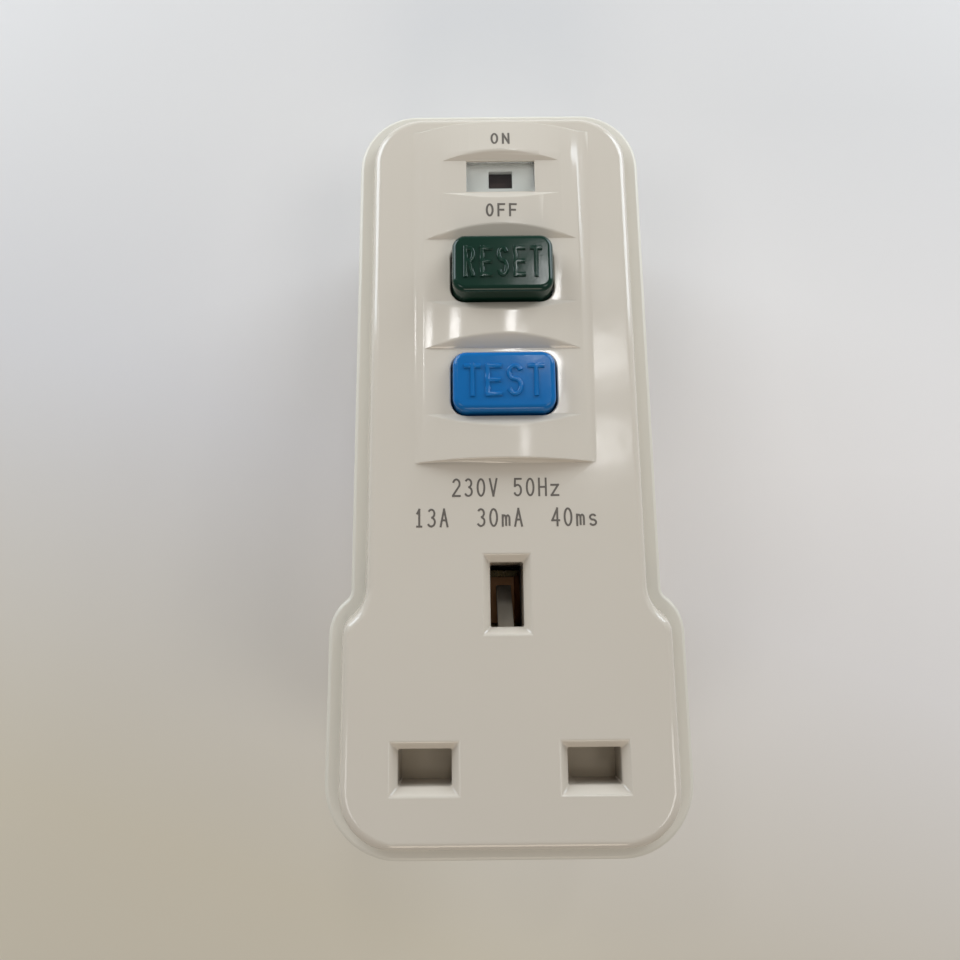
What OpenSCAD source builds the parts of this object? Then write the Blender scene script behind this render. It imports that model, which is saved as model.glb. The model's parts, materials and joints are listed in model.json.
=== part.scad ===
// Plug-in residual current adapter: a case with one socket, a test and a reset button and a flag window.
// Upright as plugged into a wall. X is to the right, Z is up, and the front looks along -Y.
// The mating face is at Y = 0, and the origin lies on it midway between the live and neutral pins.
// Depths are counted back from the flat front face, in millimetres.

/* [Case] */
// Width of the lower case, across the socket
lower_w = 52; // [51:0.25:53]
// Width of the upper case, across the buttons
upper_w = 45.8; // [45:0.2:47]
// Height of the top edge above the live and neutral pins
top_z = 98.5; // [98:0.5:102]
// Depth of the bottom edge below the live and neutral pins
bottom_z = 13.8; // [13.8:0.2:16]
// Front face to mating face
body_depth = 39; // [38.5:0.5:44]
// Depth of the front cover, back to the rim
cover_depth = 9.5; // [9:0.25:10.5]
// Radius of the four outline corners at the rim
corner_r = 8.5; // [8:0.25:10]
// Height at which the lower case starts to narrow
flare_z0 = 17; // [16:0.5:18]
// Height at which the upper width is reached
flare_z1 = 23.4; // [23:0.2:25]
// Radius of the outer bend of the shoulder
flare_r = 6.4; // [6.2:0.1:6.8]
// Width of the rim that shows round the front cover
rim_w = 1.6; // [1.4:0.1:1.8]
// Lean of the front cover's sides, in degrees
cover_lean = 15; // [13:0.5:16]
// Rounding of the front face's edge
face_r = 1.2; // [1:0.1:1.4]
// Wall of the front face
face_wall = 2.2; // [2:0.1:2.4]
// Side wall of the front cover
side_wall = 1.7; // [1.6:0.1:1.8]
// Side wall of the rear cover
rear_side_wall = 2.6; // [2.4:0.1:2.8]
// Back wall of the rear cover, pad included
rear_wall = 3; // [2.8:0.1:3.6]
// Height of the mating pad over the back
pad_h = 0.6; // [0.4:0.1:0.8]
// Distance of the mating pad's edge from the rim
pad_inset = 4; // [3.5:0.25:5]
// Rounding of the rim's front edge
rim_edge = 0.6; // [0.4:0.1:0.8]
// Rounding of the back's outer edge
back_r = 1.5; // [1:0.1:2]
// Draft of the rear cover's sides
rear_draft = 0.6; // [0.4:0.1:0.8]
// Thickness of the lip that locates the covers
lip_t = 1; // [0.8:0.1:1.2]
// Length of the lip that locates the covers
lip_h = 2; // [1.6:0.1:2.4]

/* [Button panel] */
// Height of the raised panel in the middle
panel_h = 1.9; // [1.7:0.1:2.1]
// Radius of the panel's curve across the case
panel_r = 46; // [44:1:54]
// Lower end of the panel
panel_z0 = 40.2; // [39.5:0.1:41]
// Upper corners of the panel
panel_z1 = 91.9; // [91.5:0.1:92.2]
// Bow of the panel's upper edge
panel_bow = 1.4; // [1.2:0.1:1.6]
// Width of the panel at its lower end
panel_w0 = 23.6; // [23.2:0.1:24]
// Width of the panel at its upper end
panel_w1 = 24.8; // [24.4:0.1:25.2]
// Lean of the panel's lower end for each unit of its height
panel_draft = 0.2; // [0.1:0.05:0.4]
// Slope of the recess ends
recess_slope = 0.69; // [0.6:0.03:0.8]
// Half width of the flat floors at the buttons
recess_x = 10.4; // [10:0.1:10.8]
// Half width of the flat floor at the window
window_recess_x = 8.7; // [8.4:0.1:9]
// Floor height of the button recesses along the case
recess_len = 10; // [9.6:0.1:10.2]
// Offset of each recess above its button
recess_up = 0.5; // [0.3:0.1:0.6]

/* [Buttons] */
// Height of the test button's middle
test_z = 51.5; // [51:0.1:52]
// Height of the reset button's middle
reset_z = 68.5; // [68:0.1:69]
// Width of a button
button_w = 14.5; // [14:0.1:15]
// Height of a button
button_h = 8.7; // [8.4:0.1:8.9]
// Corner radius of a button
button_r = 1.9; // [1.5:0.1:2.2]
// Rounding of a button's top edge
button_edge = 0.8; // [0.6:0.1:1]
// Wall of a button
button_wall = 1.4; // [1.2:0.1:1.5]
// Rise of the test button over its recess floor
test_rise = 1.8; // [1.7:0.1:2.2]
// Rise of the reset button over its recess floor
reset_rise = 3.3; // [3.2:0.1:3.8]
// Gap between a button and the cover
button_gap = 0.25; // [0.2:0.05:0.35]
// Collar that keeps a button behind the cover
collar_w = 1.1; // [0.9:0.1:1.2]
// Thickness of the collar
collar_t = 1; // [0.8:0.1:1.1]
// Travel of the reset button
reset_travel = 3.5; // [3:0.1:3.6]
// Travel of the test button
test_travel = 1.6; // [1.4:0.1:1.7]
// Radius of the reset shaft
shaft_r = 1.95; // [1.8:0.05:2]

/* [Flag window] */
// Height of the window's middle
window_z = 83.8; // [83.6:0.1:84]
// Width of the lens
window_w = 10.1; // [9.8:0.1:10.4]
// Height of the lens
window_h = 5; // [4.8:0.1:5.2]
// Width of the opening that shows the flag
flag_open_w = 3.5; // [3.2:0.1:3.8]
// Height of the opening that shows the flag
flag_open_h = 2.8; // [2.6:0.1:3]
// Radius of the flag's face about its pivot
flag_r = 11.9; // [11.7:0.1:12]
// Width of the flag's face
flag_w = 4.6; // [4.2:0.1:4.8]

/* [Socket] */
// Distance between the live and neutral middles
pin_pitch = 22.2; // [22:0.1:22.4]
// Height of the earth pin over the live and neutral pins
earth_z = 22.23; // [22.1:0.01:22.4]
// Width of a live or neutral slot
slot_w = 7; // [6.8:0.1:7.2]
// Height of a live or neutral slot
slot_h = 4.6; // [4.5:0.1:4.8]
// Width of the earth slot
earth_slot_w = 4.5; // [4.4:0.1:4.8]
// Height of the earth slot
earth_slot_h = 8.7; // [8.5:0.1:8.9]
// Width of the bevel round the slots
slot_bevel = 1; // [0.8:0.1:1.1]
// Depth of the bevel round the slots
slot_bevel_d = 1.3; // [1:0.1:1.5]
// Wall of the slot tunnels
tunnel_wall = 1.3; // [1.1:0.1:1.4]
// Depth of the slot tunnels
tunnel_depth = 6.5; // [6.2:0.1:6.7]
// Thickness of the shutter
shutter_t = 1.8; // [1.6:0.1:1.9]
// Width of the shutter's ramp
ramp_w = 2.3; // [2.1:0.1:2.5]
// Travel of the shutter
shutter_travel = 6.4; // [6.2:0.1:6.6]
// Clear width between the leaves of a contact clip
clip_gap = 4.1; // [4.1:0.05:4.2]
// Length of the live and neutral clips
clip_len = 9.45; // [9:0.05:10]
// Length of the earth clip
earth_clip_len = 13.05; // [12.5:0.05:14]
// Width of the contact carrier
carrier_w = 31; // [29:0.5:32]
// Height of the contact carrier
carrier_h = 35; // [34:0.5:37]
// Thickness of the contact carrier's plate
carrier_t = 1.6; // [1.4:0.1:1.8]
// Thickness of a contact leaf
leaf_t = 0.6; // [0.5:0.05:0.7]

/* [Plug pins] */
// Width of a live or neutral pin
pin_w = 6.35; // [6.3:0.05:6.4]
// Height of a live or neutral pin
pin_h = 4; // [3.95:0.05:4]
// Length of the live and neutral pins
pin_len = 17.7; // [17.2:0.1:18.2]
// Width of the earth pin
earth_w = 4; // [3.95:0.05:4]
// Height of the earth pin
earth_h = 7.95; // [7.8:0.05:8]
// Length of the earth pin
earth_len = 22.7; // [22.2:0.1:23.2]
// Taper at the tip of each pin
pin_tip = 1.6; // [1.2:0.1:2]
// Length of the sleeve on the live and neutral pins
sleeve_len = 9.5; // [9:0.1:9.9]
// Wall of the sleeve
sleeve_t = 0.6; // [0.5:0.05:0.7]

/* [Mechanism] */
// Gap between open contacts, which the contact carriage closes
contact_gap = 2; // [1.8:0.05:2.2]
// Travel of the plunger and of the latch plate
plunger_travel = 1.5; // [1.2:0.1:1.5]
// Width of a contact blade
blade_w = 4; // [3.6:0.1:4.2]
// Thickness of blades and strips
blade_t = 0.8; // [0.7:0.05:0.9]
// Radius of a contact tip
tip_r = 1.6; // [1.4:0.1:1.7]
// Wire of the button springs
spring_wire = 0.6; // [0.5:0.05:0.7]
// Coils of each button spring
spring_coils = 4; // [3:1:5]
// Thickness of the chassis plate
plate_t = 1.5; // [1.2:0.1:1.8]
// Wall of the chassis
chassis_wall = 1.4; // [1.2:0.1:1.6]
// Thickness of the carriage's arms
arm_t = 2.6; // [2.2:0.1:3]
// Radius of the plunger
plunger_r = 1.6; // [1.4:0.1:1.8]
// Length of the plunger above the latch plate's tab
plunger_len = 12.5; // [12:0.1:13]
// Radius of the coil's winding
coil_r = 4.2; // [3.8:0.1:4.6]
// Length of the coil's yoke
yoke_len = 11; // [10:0.5:12]
// Thickness of the yoke
yoke_t = 1; // [0.8:0.1:1.2]
// Radius of an insulated lead
lead_r = 1.1; // [0.9:0.05:1.1]
// Outer radius of the sensing core
core_r = 7.4; // [7:0.1:7.4]
// Inner radius of the sensing core
core_in_r = 4.7; // [4.6:0.1:4.9]
// Height of the sensing core
core_h = 6; // [5.5:0.1:6.5]
// Height of the sensing core's lower face over the live and neutral pins
core_z = 33; // [32:0.25:34]
// Thickness of the winding on the sensing core
winding_t = 0.7; // [0.5:0.1:0.9]
// Depth of the circuit board's front
board_d = 30; // [27:0.25:31.5]
// Height of the circuit board's lower edge over the live and neutral pins
board_z0 = 33; // [32:0.5:34]
// Length of the circuit board
board_len = 53; // [48:0.5:56]
// Radius of the varistor
varistor_r = 4.5; // [4:0.1:5]
// Thickness of the varistor
varistor_t = 3.6; // [3:0.1:4]
// Radius of the capacitor
capacitor_r = 3.1; // [2.8:0.1:3.4]
// Height of the capacitor over the board
capacitor_h = 8; // [7:0.1:9]
// Thickness of the circuit board
board_t = 1.6; // [1.4:0.1:1.8]

/* [Screws] */
// Inset of the case screws from the rim
post_in = 6.8; // [6.8:0.1:7]
// Depth at which the posts meet the bosses
post_d = 14; // [13:0.25:15]
// Radius of the posts on the front cover
post_r = 3.2; // [3:0.1:3.2]
// Radius of the bosses in the rear cover
boss_r = 4.3; // [4.2:0.1:4.4]
// Radius of a case screw's shank
screw_r = 1.4; // [1.3:0.05:1.5]
// Radius of a case screw's head
screw_head_r = 2.8; // [2.6:0.1:2.9]
// Radius of the recess over a case screw
screw_well_r = 3.2; // [3.1:0.1:3.3]

/* [Hidden] */
$fn = 48;
// Clearance of fixed fits
fit = 0.05;
// Clearance of sliding fits
slide = 0.2;
// Points along each outline corner and shoulder bend
corner_n = 12;
bend_n = 8;
// Half shoulder, and the radius of its inner bend
flare_a = (lower_w - upper_w) / 2;
flare_b = flare_z1 - flare_z0;
flare_sum = (flare_a * flare_a + flare_b * flare_b) / (2 * flare_a);
bend_r = min(flare_r, 0.8 * flare_sum);
flare_k = flare_sum - bend_r;
flare_ang = atan2(flare_b, flare_sum - flare_a);
// Insets of the front cover and of the locating lip from the rim
function side_in(d) = rim_w + tan(cover_lean) * (cover_depth - d);
lip_in = rear_side_wall + 0.15;
// Depths through the case
rear_in_d = body_depth - rear_wall;
back_d = body_depth - pad_h;
screw_grip = 6;
screw_seat_d = post_d + screw_grip;
screw_room = 0.5;
post_skin = 0.1;
post_corner = corner_r - (corner_r - post_in) * sqrt(2) - post_r - post_skin;
post_top_d = cover_depth - (post_corner - rim_w) / tan(cover_lean);
screw_tip_d = post_top_d + 2 * screw_room;
shutter_d0 = tunnel_depth + 0.3;
shutter_d1 = shutter_d0 + shutter_t;
carrier_d0 = shutter_d1 + 0.5;
carrier_d1 = carrier_d0 + carrier_t;
clip_d0 = carrier_d1 + fit;
clip_d1 = clip_d0 + clip_len;
earth_clip_d1 = clip_d0 + earth_clip_len;
carrier_z0 = -bottom_z + rim_w + side_wall + 4.5;
flange_t = 2;
pin_boss = 6;
flange_d1 = rear_in_d - pin_boss;
flange_d0 = flange_d1 - flange_t;
flange_over = 1.3;
stub_r = 1.6;
board_d1 = board_d + board_t;
// Panel and recess levels, negative in front of the face
button_floor_d = -(panel_h - recess_x * recess_x / (2 * panel_r));
window_floor_d = -(panel_h - window_recess_x * window_recess_x / (2 * panel_r));
test_top_d = button_floor_d - test_rise;
reset_top_d = button_floor_d - reset_rise;
collar_d0 = face_wall + slide;
collar_d1 = collar_d0 + collar_t;
// Window stack
lens_set = 0.1;
lens_t = 1;
lens_flange = 1;
lens_flange_t = 0.5;
mask_t = 0.8;
flag_clear = 1.1;
lens_d0 = window_floor_d + lens_set;
lens_flange_d = window_floor_d + lens_t;
mask_d0 = lens_flange_d + lens_flange_t;
mask_d1 = mask_d0 + mask_t;
flag_pivot_d = mask_d1 + flag_clear + flag_r;
flag_pivot_z = window_z;
flag_pin_r = 0.8;
flag_hub_r = 1.8;
flag_arm_t = 1.6;
flag_arm_r = 6.6;
flag_bearing_d1 = flag_pivot_d + 1.7;
flag_black_ang = 15;
flag_split_ang = 13.5;
flag_red_ang = 34;
// Mechanism stack
plate_d0 = collar_d1 + reset_travel + spring_coils * spring_wire + 0.1;
plate_d1 = plate_d0 + plate_t;
strip_d1 = plate_d1 + blade_t;
tip_t = 1;
tip_d1 = strip_d1 + tip_t;
moving_tip_d0 = tip_d1 + contact_gap;
blade_d0 = moving_tip_d0 + 0.8;
blade_d1 = blade_d0 + blade_t;
arm_d1 = blade_d1 + arm_t;
hub_d0 = moving_tip_d0 - 0.1;
hub_d1 = arm_d1 + 3;
hub_half = 4.5;
ledge_d0 = arm_d1 + 0.1;
pole_x = pin_pitch / 2;
low_tip_z = reset_z - 6.7;
high_tip_z = reset_z + 6.7;
latch_d0 = arm_d1 + 0.5;
latch_d1 = latch_d0 + 1;
latch_tab_z = reset_z + 7;
finger_d1 = blade_d1 + 2;
plunger_neck_r = 1;
plunger_disc_r = 2.4;
bobbin_r = coil_r + 0.4;
flag_hub_d1 = flag_pivot_d + flag_hub_r;
solenoid_d = max(latch_d0 + 1, finger_d1 + plunger_disc_r + slide, flag_hub_d1 + bobbin_r + 0.3);
tab_slot_d0 = solenoid_d - plunger_neck_r - 0.3;
tab_slot_d1 = solenoid_d + contact_gap + plunger_neck_r + 0.3;
yoke_z0 = latch_tab_z + 5.9;
yoke_z1 = yoke_z0 + yoke_len;
yoke_front_d = solenoid_d - bobbin_r - 0.1;
yoke_back_d = solenoid_d + bobbin_r + 0.2;
chassis_x = pole_x + blade_w / 2 + 2.1;
chassis_z0 = test_z - 5.5;
chassis_z1 = reset_z + 11.5;
core_d = board_d - core_r - winding_t - 0.4;
lead_top_z = core_z + core_h + 4.6;
lead_side_x = chassis_x + chassis_wall + lead_r + 0.5;
lead_back_d = board_d - lead_r - 3.4;
lead_end_z = high_tip_z + 5.6;
chassis_side_z0 = lead_top_z + 6.4;
shutter_half = slot_h / 2 + 0.7;
shutter_x = pin_pitch / 2 + slot_w / 2 + 0.5;
bridge_z1 = 6.5;
spring_top_z = 3.2;
ramp_z0 = earth_z - earth_slot_h / 2 + 0.02;
ramp_z1 = earth_z + 2;
ramp_d1 = 15.5;
ramp_slot_z0 = ramp_z0 - 1.5 - shutter_travel - 1;
well_over = 1;
well_w = 3.8;
well_t = 1.2;
well_z = -bottom_z + side_in(shutter_d0 - well_over) + side_wall;

// Points of an arc in the plane of the face
function arc(c, r, a0, a1, n) =
  [for (i = [0 : n]) c + r * [cos(a0 + (a1 - a0) * i / n), sin(a0 + (a1 - a0) * i / n)]];

// The same arc without its first point
function arc_on(c, r, a0, a1, n) =
  [for (i = [1 : n]) c + r * [cos(a0 + (a1 - a0) * i / n), sin(a0 + (a1 - a0) * i / n)]];

// Right half of the case outline from the bottom to the top, at a distance inside the rim
function half_outline(inset) = concat(
  arc([lower_w / 2 - corner_r, corner_r - bottom_z], corner_r - inset, -90, 0, corner_n),
  arc([lower_w / 2 - bend_r, flare_z0], max(bend_r - inset, 0.1), 0, flare_ang, bend_n),
  arc_on([upper_w / 2 + flare_k, flare_z1], flare_k + inset, 180 + flare_ang, 180, bend_n),
  arc([upper_w / 2 - corner_r, top_z - corner_r], corner_r - inset, 0, 90, corner_n));

// Outline mirrored to both sides
function both_sides(half) =
  concat(half, [for (i = [len(half) - 1 : -1 : 0]) [-half[i][0], half[i][1]]]);

function case_outline(inset) = both_sides(half_outline(inset));

// Rounded rectangle about a middle
function block_outline(at, w, h, r) = concat(
  arc(at + [w / 2 - r, r - h / 2], r, -90, 0, 6),
  arc(at + [w / 2 - r, h / 2 - r], r, 0, 90, 6),
  arc(at + [r - w / 2, h / 2 - r], r, 90, 180, 6),
  arc(at + [r - w / 2, r - h / 2], r, 180, 270, 6));

// Plain rectangle about a middle
function frame_outline(at, w, h) =
  [at + [w, -h] / 2, at + [w, h] / 2, at + [-w, h] / 2, at + [-w, -h] / 2];

// Levels of a rounding from a leaning side, at an inset, up to a front depth
function rounding(d0, in0, r, n, lean) =
  [for (i = [0 : n]) let (a = lean + (90 - lean) * i / n)
    [d0 + r * (1 - sin(a)), in0 + r * (cos(lean) - cos(a))]];

// Skin through outlines of equal length, from the front to the back
module loft(levels) {
  n = len(levels[0][1]);
  m = len(levels);
  points = [for (l = levels) for (p = l[1]) [p[0], l[0] - body_depth, p[1]]];
  skin = [for (k = [0 : m - 2]) for (i = [0 : n - 1]) let (j = (i + 1) % n)
    each [[k * n + i, k * n + j, (k + 1) * n + j], [k * n + i, (k + 1) * n + j, (k + 1) * n + i]]];
  front = [[for (i = [n - 1 : -1 : 0]) i]];
  back = [[for (i = [0 : n - 1]) (m - 1) * n + i]];
  polyhedron(points, concat(front, skin, back), convexity = 8);
}

// Plan shape between two depths
module slab(d0, d1) {
  translate([0, d1 - body_depth, 0]) rotate([90, 0, 0]) linear_extrude(d1 - d0) children();
}

// Side shape, drawn as height and depth, across a width about a middle
module across(x, w) {
  translate([x - w / 2, -body_depth, 0]) rotate([90, 0, 90]) linear_extrude(w) children();
}

// Box between two depths
module bar(d0, d1, at, w, h) {
  translate([at[0] - w / 2, d0 - body_depth, at[1] - h / 2]) cube([w, d1 - d0, h]);
}

// Round bar between two depths
module rod(d0, d1, at, r) {
  translate([at[0], d1 - body_depth, at[1]]) rotate([90, 0, 0]) cylinder(h = d1 - d0, r = r);
}

// Round bar along the height
module pillar(z0, z1, x, d, r) {
  translate([x, d - body_depth, z0]) cylinder(h = z1 - z0, r = r);
}

// Round bar across the case
module axle(x0, x1, d, z, r) {
  translate([x0, d - body_depth, z]) rotate([0, 90, 0]) cylinder(h = x1 - x0, r = r);
}

// Direction of a path at one of its points
function path_dir(path, i) =
  let (v = path[min(i + 1, len(path) - 1)] - path[max(i - 1, 0)]) v / norm(v);

function unit(v) = v / norm(v);

// Sideways direction carried along a path without twist
function path_sides(path, first) =
  [for (i = 0, s = first; i < len(path); i = i + 1,
    s = i < len(path) ? unit(s - (s * path_dir(path, i)) * path_dir(path, i)) : s)
    unit(s - (s * path_dir(path, i)) * path_dir(path, i))];

// Closed tube along a path
module tube(path, r, sides, first) {
  n = len(path);
  side = path_sides(path, first);
  points = [for (i = [0 : n - 1]) for (j = [0 : sides - 1])
    let (up = cross(path_dir(path, i), side[i]), a = 360 * j / sides)
    path[i] + r * (cos(a) * side[i] + sin(a) * up)];
  skin = [for (i = [0 : n - 2]) for (j = [0 : sides - 1]) let (k = (j + 1) % sides)
    each [[i * sides + j, (i + 1) * sides + k, i * sides + k],
      [i * sides + j, (i + 1) * sides + j, (i + 1) * sides + k]]];
  start = [[for (j = [0 : sides - 1]) j]];
  end = [[for (j = [sides - 1 : -1 : 0]) (n - 1) * sides + j]];
  polyhedron(points, concat(start, skin, end), convexity = 10);
}

// Smooth path through points
function curve_point(a, b, c, d, t) =
  0.5 * (2 * b + (c - a) * t + (2 * a - 5 * b + 4 * c - d) * t * t + (3 * b - a - 3 * c + d) * t * t * t);

function smooth(p, steps) = concat(
  [for (i = [0 : len(p) - 2]) for (s = [0 : steps - 1])
    curve_point(p[max(i - 1, 0)], p[i], p[i + 1], p[min(i + 2, len(p) - 1)], s / steps)],
  [p[len(p) - 1]]);

// Compression spring along Z from 0 to its length
module spring(length, r, wire, coils) {
  steps = round(coils * 10);
  rise = length - wire - 0.06;
  path = [for (i = [0 : steps]) let (a = 360 * coils * i / steps)
    [r * cos(a), r * sin(a), wire / 2 + 0.03 + rise * i / steps]];
  tube(path, wire / 2, 6, [1, 0, 0]);
}

// Spring lying along the depth
module depth_spring(d0, d1, at, r, wire, coils) {
  translate([at[0], d0 - body_depth, at[1]]) rotate([-90, 0, 0]) spring(d1 - d0, r, wire, coils);
}

function post_at(top) =
  top ? [upper_w / 2 - post_in, top_z - post_in] : [lower_w / 2 - post_in, post_in - bottom_z];

module at_posts() {
  for (side = [-1, 1], top = [false, true]) {
    translate([side * post_at(top)[0], 0, post_at(top)[1]]) children();
  }
}

// Front cover
module cover_block(d0, d1, wall, r, n) {
  bend_d = d0 + r * (1 - sin(cover_lean));
  levels = rounding(d0, side_in(bend_d) + wall, r, n, cover_lean);
  order = concat([for (i = [n : -1 : 0]) levels[i]], [[d1, side_in(d1) + wall]]);
  loft([for (l = order) [l[0], case_outline(l[1])]]);
}

module cover_skin() {
  cover_block(0, cover_depth, 0, face_r, 7);
}

module cover_hollow() {
  cover_block(face_wall, cover_depth + 0.1, side_wall, 1.5, 3);
}

module cover_lip() {
  slab(cover_depth - 2, cover_depth + lip_h) difference() {
    polygon(case_outline(lip_in));
    polygon(case_outline(lip_in + lip_t));
  }
}

// Raised panel, round across the case, with a steep lower end and a bowed upper end
module panel() {
  bow_r = (panel_w1 * panel_w1 / 4 + panel_bow * panel_bow) / (2 * panel_bow);
  bow_a = asin(panel_w1 / 2 / bow_r);
  top = arc([0, panel_z1 + panel_bow - bow_r], bow_r, 90 - bow_a, 90 + bow_a, 12);
  intersection() {
    translate([0, panel_r - panel_h - body_depth, 30]) cylinder(h = 70, r = panel_r, $fn = 240);
    slab(-panel_h - 1, 1) polygon(concat([[-panel_w0 / 2, panel_z0], [panel_w0 / 2, panel_z0]], top));
    across(0, 60) polygon([[1, panel_z0 - panel_draft], [1, panel_z1 + 6], [-5, panel_z1 + 6],
      [-5, panel_z0 + 5 * panel_draft]]);
  }
}

// Flat floored recess across the panel with sloped ends
module recess(z0, z1, floor_d, half) {
  run = 4 / recess_slope;
  across(0, 2 * half + 0.4) polygon([[floor_d, z0], [floor_d, z1], [floor_d - 4, z1 + run],
    [floor_d - 4, z0 - run]]);
}

module button_recess(z) {
  recess(z + recess_up - recess_len / 2, z + recess_up + recess_len / 2, button_floor_d, recess_x);
}

module window_recess() {
  recess(window_z - window_h / 2 - 0.2, window_z + window_h / 2 + 0.1, window_floor_d, window_recess_x);
}

// Slot with its bevel through the face
module slot(at, w, h) {
  proud = 0.5;
  grow = 2 * slot_bevel * (1 + proud / slot_bevel_d);
  bar(-1, tunnel_depth + 1, at, w, h);
  loft([[-proud, frame_outline(at, w + grow, h + grow)], [slot_bevel_d, frame_outline(at, w, h)]]);
}

module tunnel(at, w, h) {
  bar(1, tunnel_depth, at, w + 2 * tunnel_wall, h + 2 * tunnel_wall);
}

module button_hole(z) {
  w = button_w + 2 * button_gap;
  h = button_h + 2 * button_gap;
  slab(-8, face_wall + 1) polygon(block_outline([0, z], w, h, button_r + button_gap));
}

module front_cover() color("#f4f2ea") {
  difference() {
    union() {
      difference() {
        cover_skin();
        cover_hollow();
      }
      panel();
      cover_lip();
      for (side = [-1, 1]) tunnel([side * pin_pitch / 2, 0], slot_w, slot_h);
      tunnel([0, earth_z], earth_slot_w, earth_slot_h);
      bar(shutter_d0 - 2 * well_over, cover_depth - slide, [0, well_z - well_t / 2], well_w, well_t);
      at_posts() rod(post_top_d, post_d, [0, 0], post_r);
    }
    button_recess(test_z);
    button_recess(reset_z);
    window_recess();
    button_hole(test_z);
    button_hole(reset_z);
    bar(-8, face_wall + 1, [0, window_z], window_w + 2 * fit, window_h + 2 * fit);
    bar(lens_flange_d, face_wall + 1, [0, window_z], window_w + 2 * lens_flange + 2 * fit,
      window_h + 2 * lens_flange + 2 * fit);
    for (side = [-1, 1]) slot([side * pin_pitch / 2, 0], slot_w, slot_h);
    slot([0, earth_z], earth_slot_w, earth_slot_h);
    at_posts() rod(screw_tip_d - screw_room, post_d + 1, [0, 0], screw_r + fit);
  }
}

// Rear cover
module rear_skin() {
  front = [for (a = [0 : 30 : 90]) [cover_depth + rim_edge * (1 - sin(a)), rim_edge * (1 - cos(a))]];
  back = [for (a = [0 : 18 : 90]) [back_d - back_r * (1 - sin(a)), rear_draft + back_r * (1 - cos(a))]];
  order = concat([for (i = [3 : -1 : 0]) front[i]], back);
  loft([for (l = order) [l[0], case_outline(l[1])]]);
}

module rear_hollow() {
  r = 1;
  wall = rear_side_wall + rear_draft;
  back = [for (a = [0 : 30 : 90]) [rear_in_d - r * (1 - sin(a)), wall + r * (1 - cos(a))]];
  order = concat([[cover_depth - 0.1, rear_side_wall]], back);
  loft([for (l = order) [l[0], case_outline(l[1])]]);
}

board_w = 2 * (upper_w / 2 - rear_side_wall - rear_draft - 1.7);
board_hole_in = 3.5;
board_hole_x = chassis_x - 2.7;
board_hole_top = min(board_z0 + board_len - 3, post_at(true)[1] - boss_r - 2.4);
board_posts = [for (x = [-1, 1], z = [board_z0 + board_hole_in, board_hole_top]) [x * board_hole_x, z]];

module rear_cover() color("#ecebe2") {
  difference() {
    union() {
      difference() {
        rear_skin();
        rear_hollow();
      }
      slab(back_d - 1, body_depth) polygon(case_outline(pad_inset));
      at_posts() rod(post_d + fit, rear_in_d + 0.5, [0, 0], boss_r);
      for (side = [-1, 1]) {
        bar(flange_d1, rear_in_d + 0.5, [side * pin_pitch / 2, 0], pin_w + 4.6, pin_h + 5);
      }
      bar(flange_d1, rear_in_d + 0.5, [0, earth_z], earth_w + 5, earth_h + 5);
      for (p = board_posts) rod(board_d1, rear_in_d + 0.5, p, 2.5);
    }
    for (side = [-1, 1]) {
      bar(flange_d1 - 1, body_depth + 1, [side * pin_pitch / 2, 0], pin_w + 2 * fit, pin_h + 2 * fit);
    }
    bar(flange_d1 - 1, body_depth + 1, [0, earth_z], earth_w + 2 * fit, earth_h + 2 * fit);
    at_posts() rod(post_d - 1, screw_seat_d + 1, [0, 0], screw_r + slide);
    at_posts() rod(screw_seat_d, body_depth + 1, [0, 0], screw_well_r);
    for (p = board_posts) rod(board_d1 - 1, rear_in_d - 1, p, 1.1 + fit);
  }
}

module case_screws() color("#8d9096") {
  at_posts() difference() {
    union() {
      rod(screw_tip_d, screw_seat_d + 0.5, [0, 0], screw_r);
      rod(screw_seat_d + fit, screw_seat_d + 2.2, [0, 0], screw_head_r);
    }
    bar(screw_seat_d + 1.1, screw_seat_d + 3, [0, 0], 0.8, 3.4);
    bar(screw_seat_d + 1.1, screw_seat_d + 3, [0, 0], 3.4, 0.8);
  }
}

// Window
module window_lens() color("#e8eef2") {
  bar(lens_d0, lens_flange_d + 0.2, [0, window_z], window_w, window_h);
  bar(lens_flange_d + fit, mask_d0 - fit, [0, window_z], window_w + 2 * lens_flange,
    window_h + 2 * lens_flange);
}

module window_mask() color("#d9dcdc") {
  difference() {
    bar(mask_d0, mask_d1, [0, window_z], window_w + 2 * lens_flange, window_h + 2 * lens_flange);
    bar(mask_d0 - 1, mask_d1 + 1, [0, window_z], flag_open_w, flag_open_h);
  }
}

// Buttons
module button_cap(z, top_d) {
  levels = rounding(top_d, 0, button_edge, 4, 0);
  order = [for (i = [4 : -1 : 0]) levels[i]];
  skin = concat(order, [[collar_d0 + 0.2, -0.05]]);
  difference() {
    union() {
      loft([for (l = skin) [l[0], block_outline([0, z], button_w - 0.1 - 2 * l[1],
        button_h - 0.1 - 2 * l[1], max(button_r - l[1], 0.4))]]);
      slab(collar_d0, collar_d1)
        polygon(block_outline([0, z], button_w + 2 * collar_w, button_h + 2 * collar_w, button_r));
    }
    bar(top_d + button_wall + 0.2, collar_d1 + 1, [0, z], button_w - 2 * button_wall,
      button_h - 2 * button_wall);
  }
}

module reset_button() color("#1f5a34") {
  button_cap(reset_z, reset_top_d);
  difference() {
    rod(reset_top_d + 1.2, collar_d1, [0, reset_z], shaft_r + 0.8);
    rod(reset_top_d + 1.7, collar_d1 + 1, [0, reset_z], shaft_r + fit);
  }
}

module test_button() color("#2a5fae") {
  button_cap(test_z, test_top_d);
  bar(test_top_d + 1.2, moving_tip_d0 - 2.3, [0, test_z], 4.8, 2.8);
}

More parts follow.
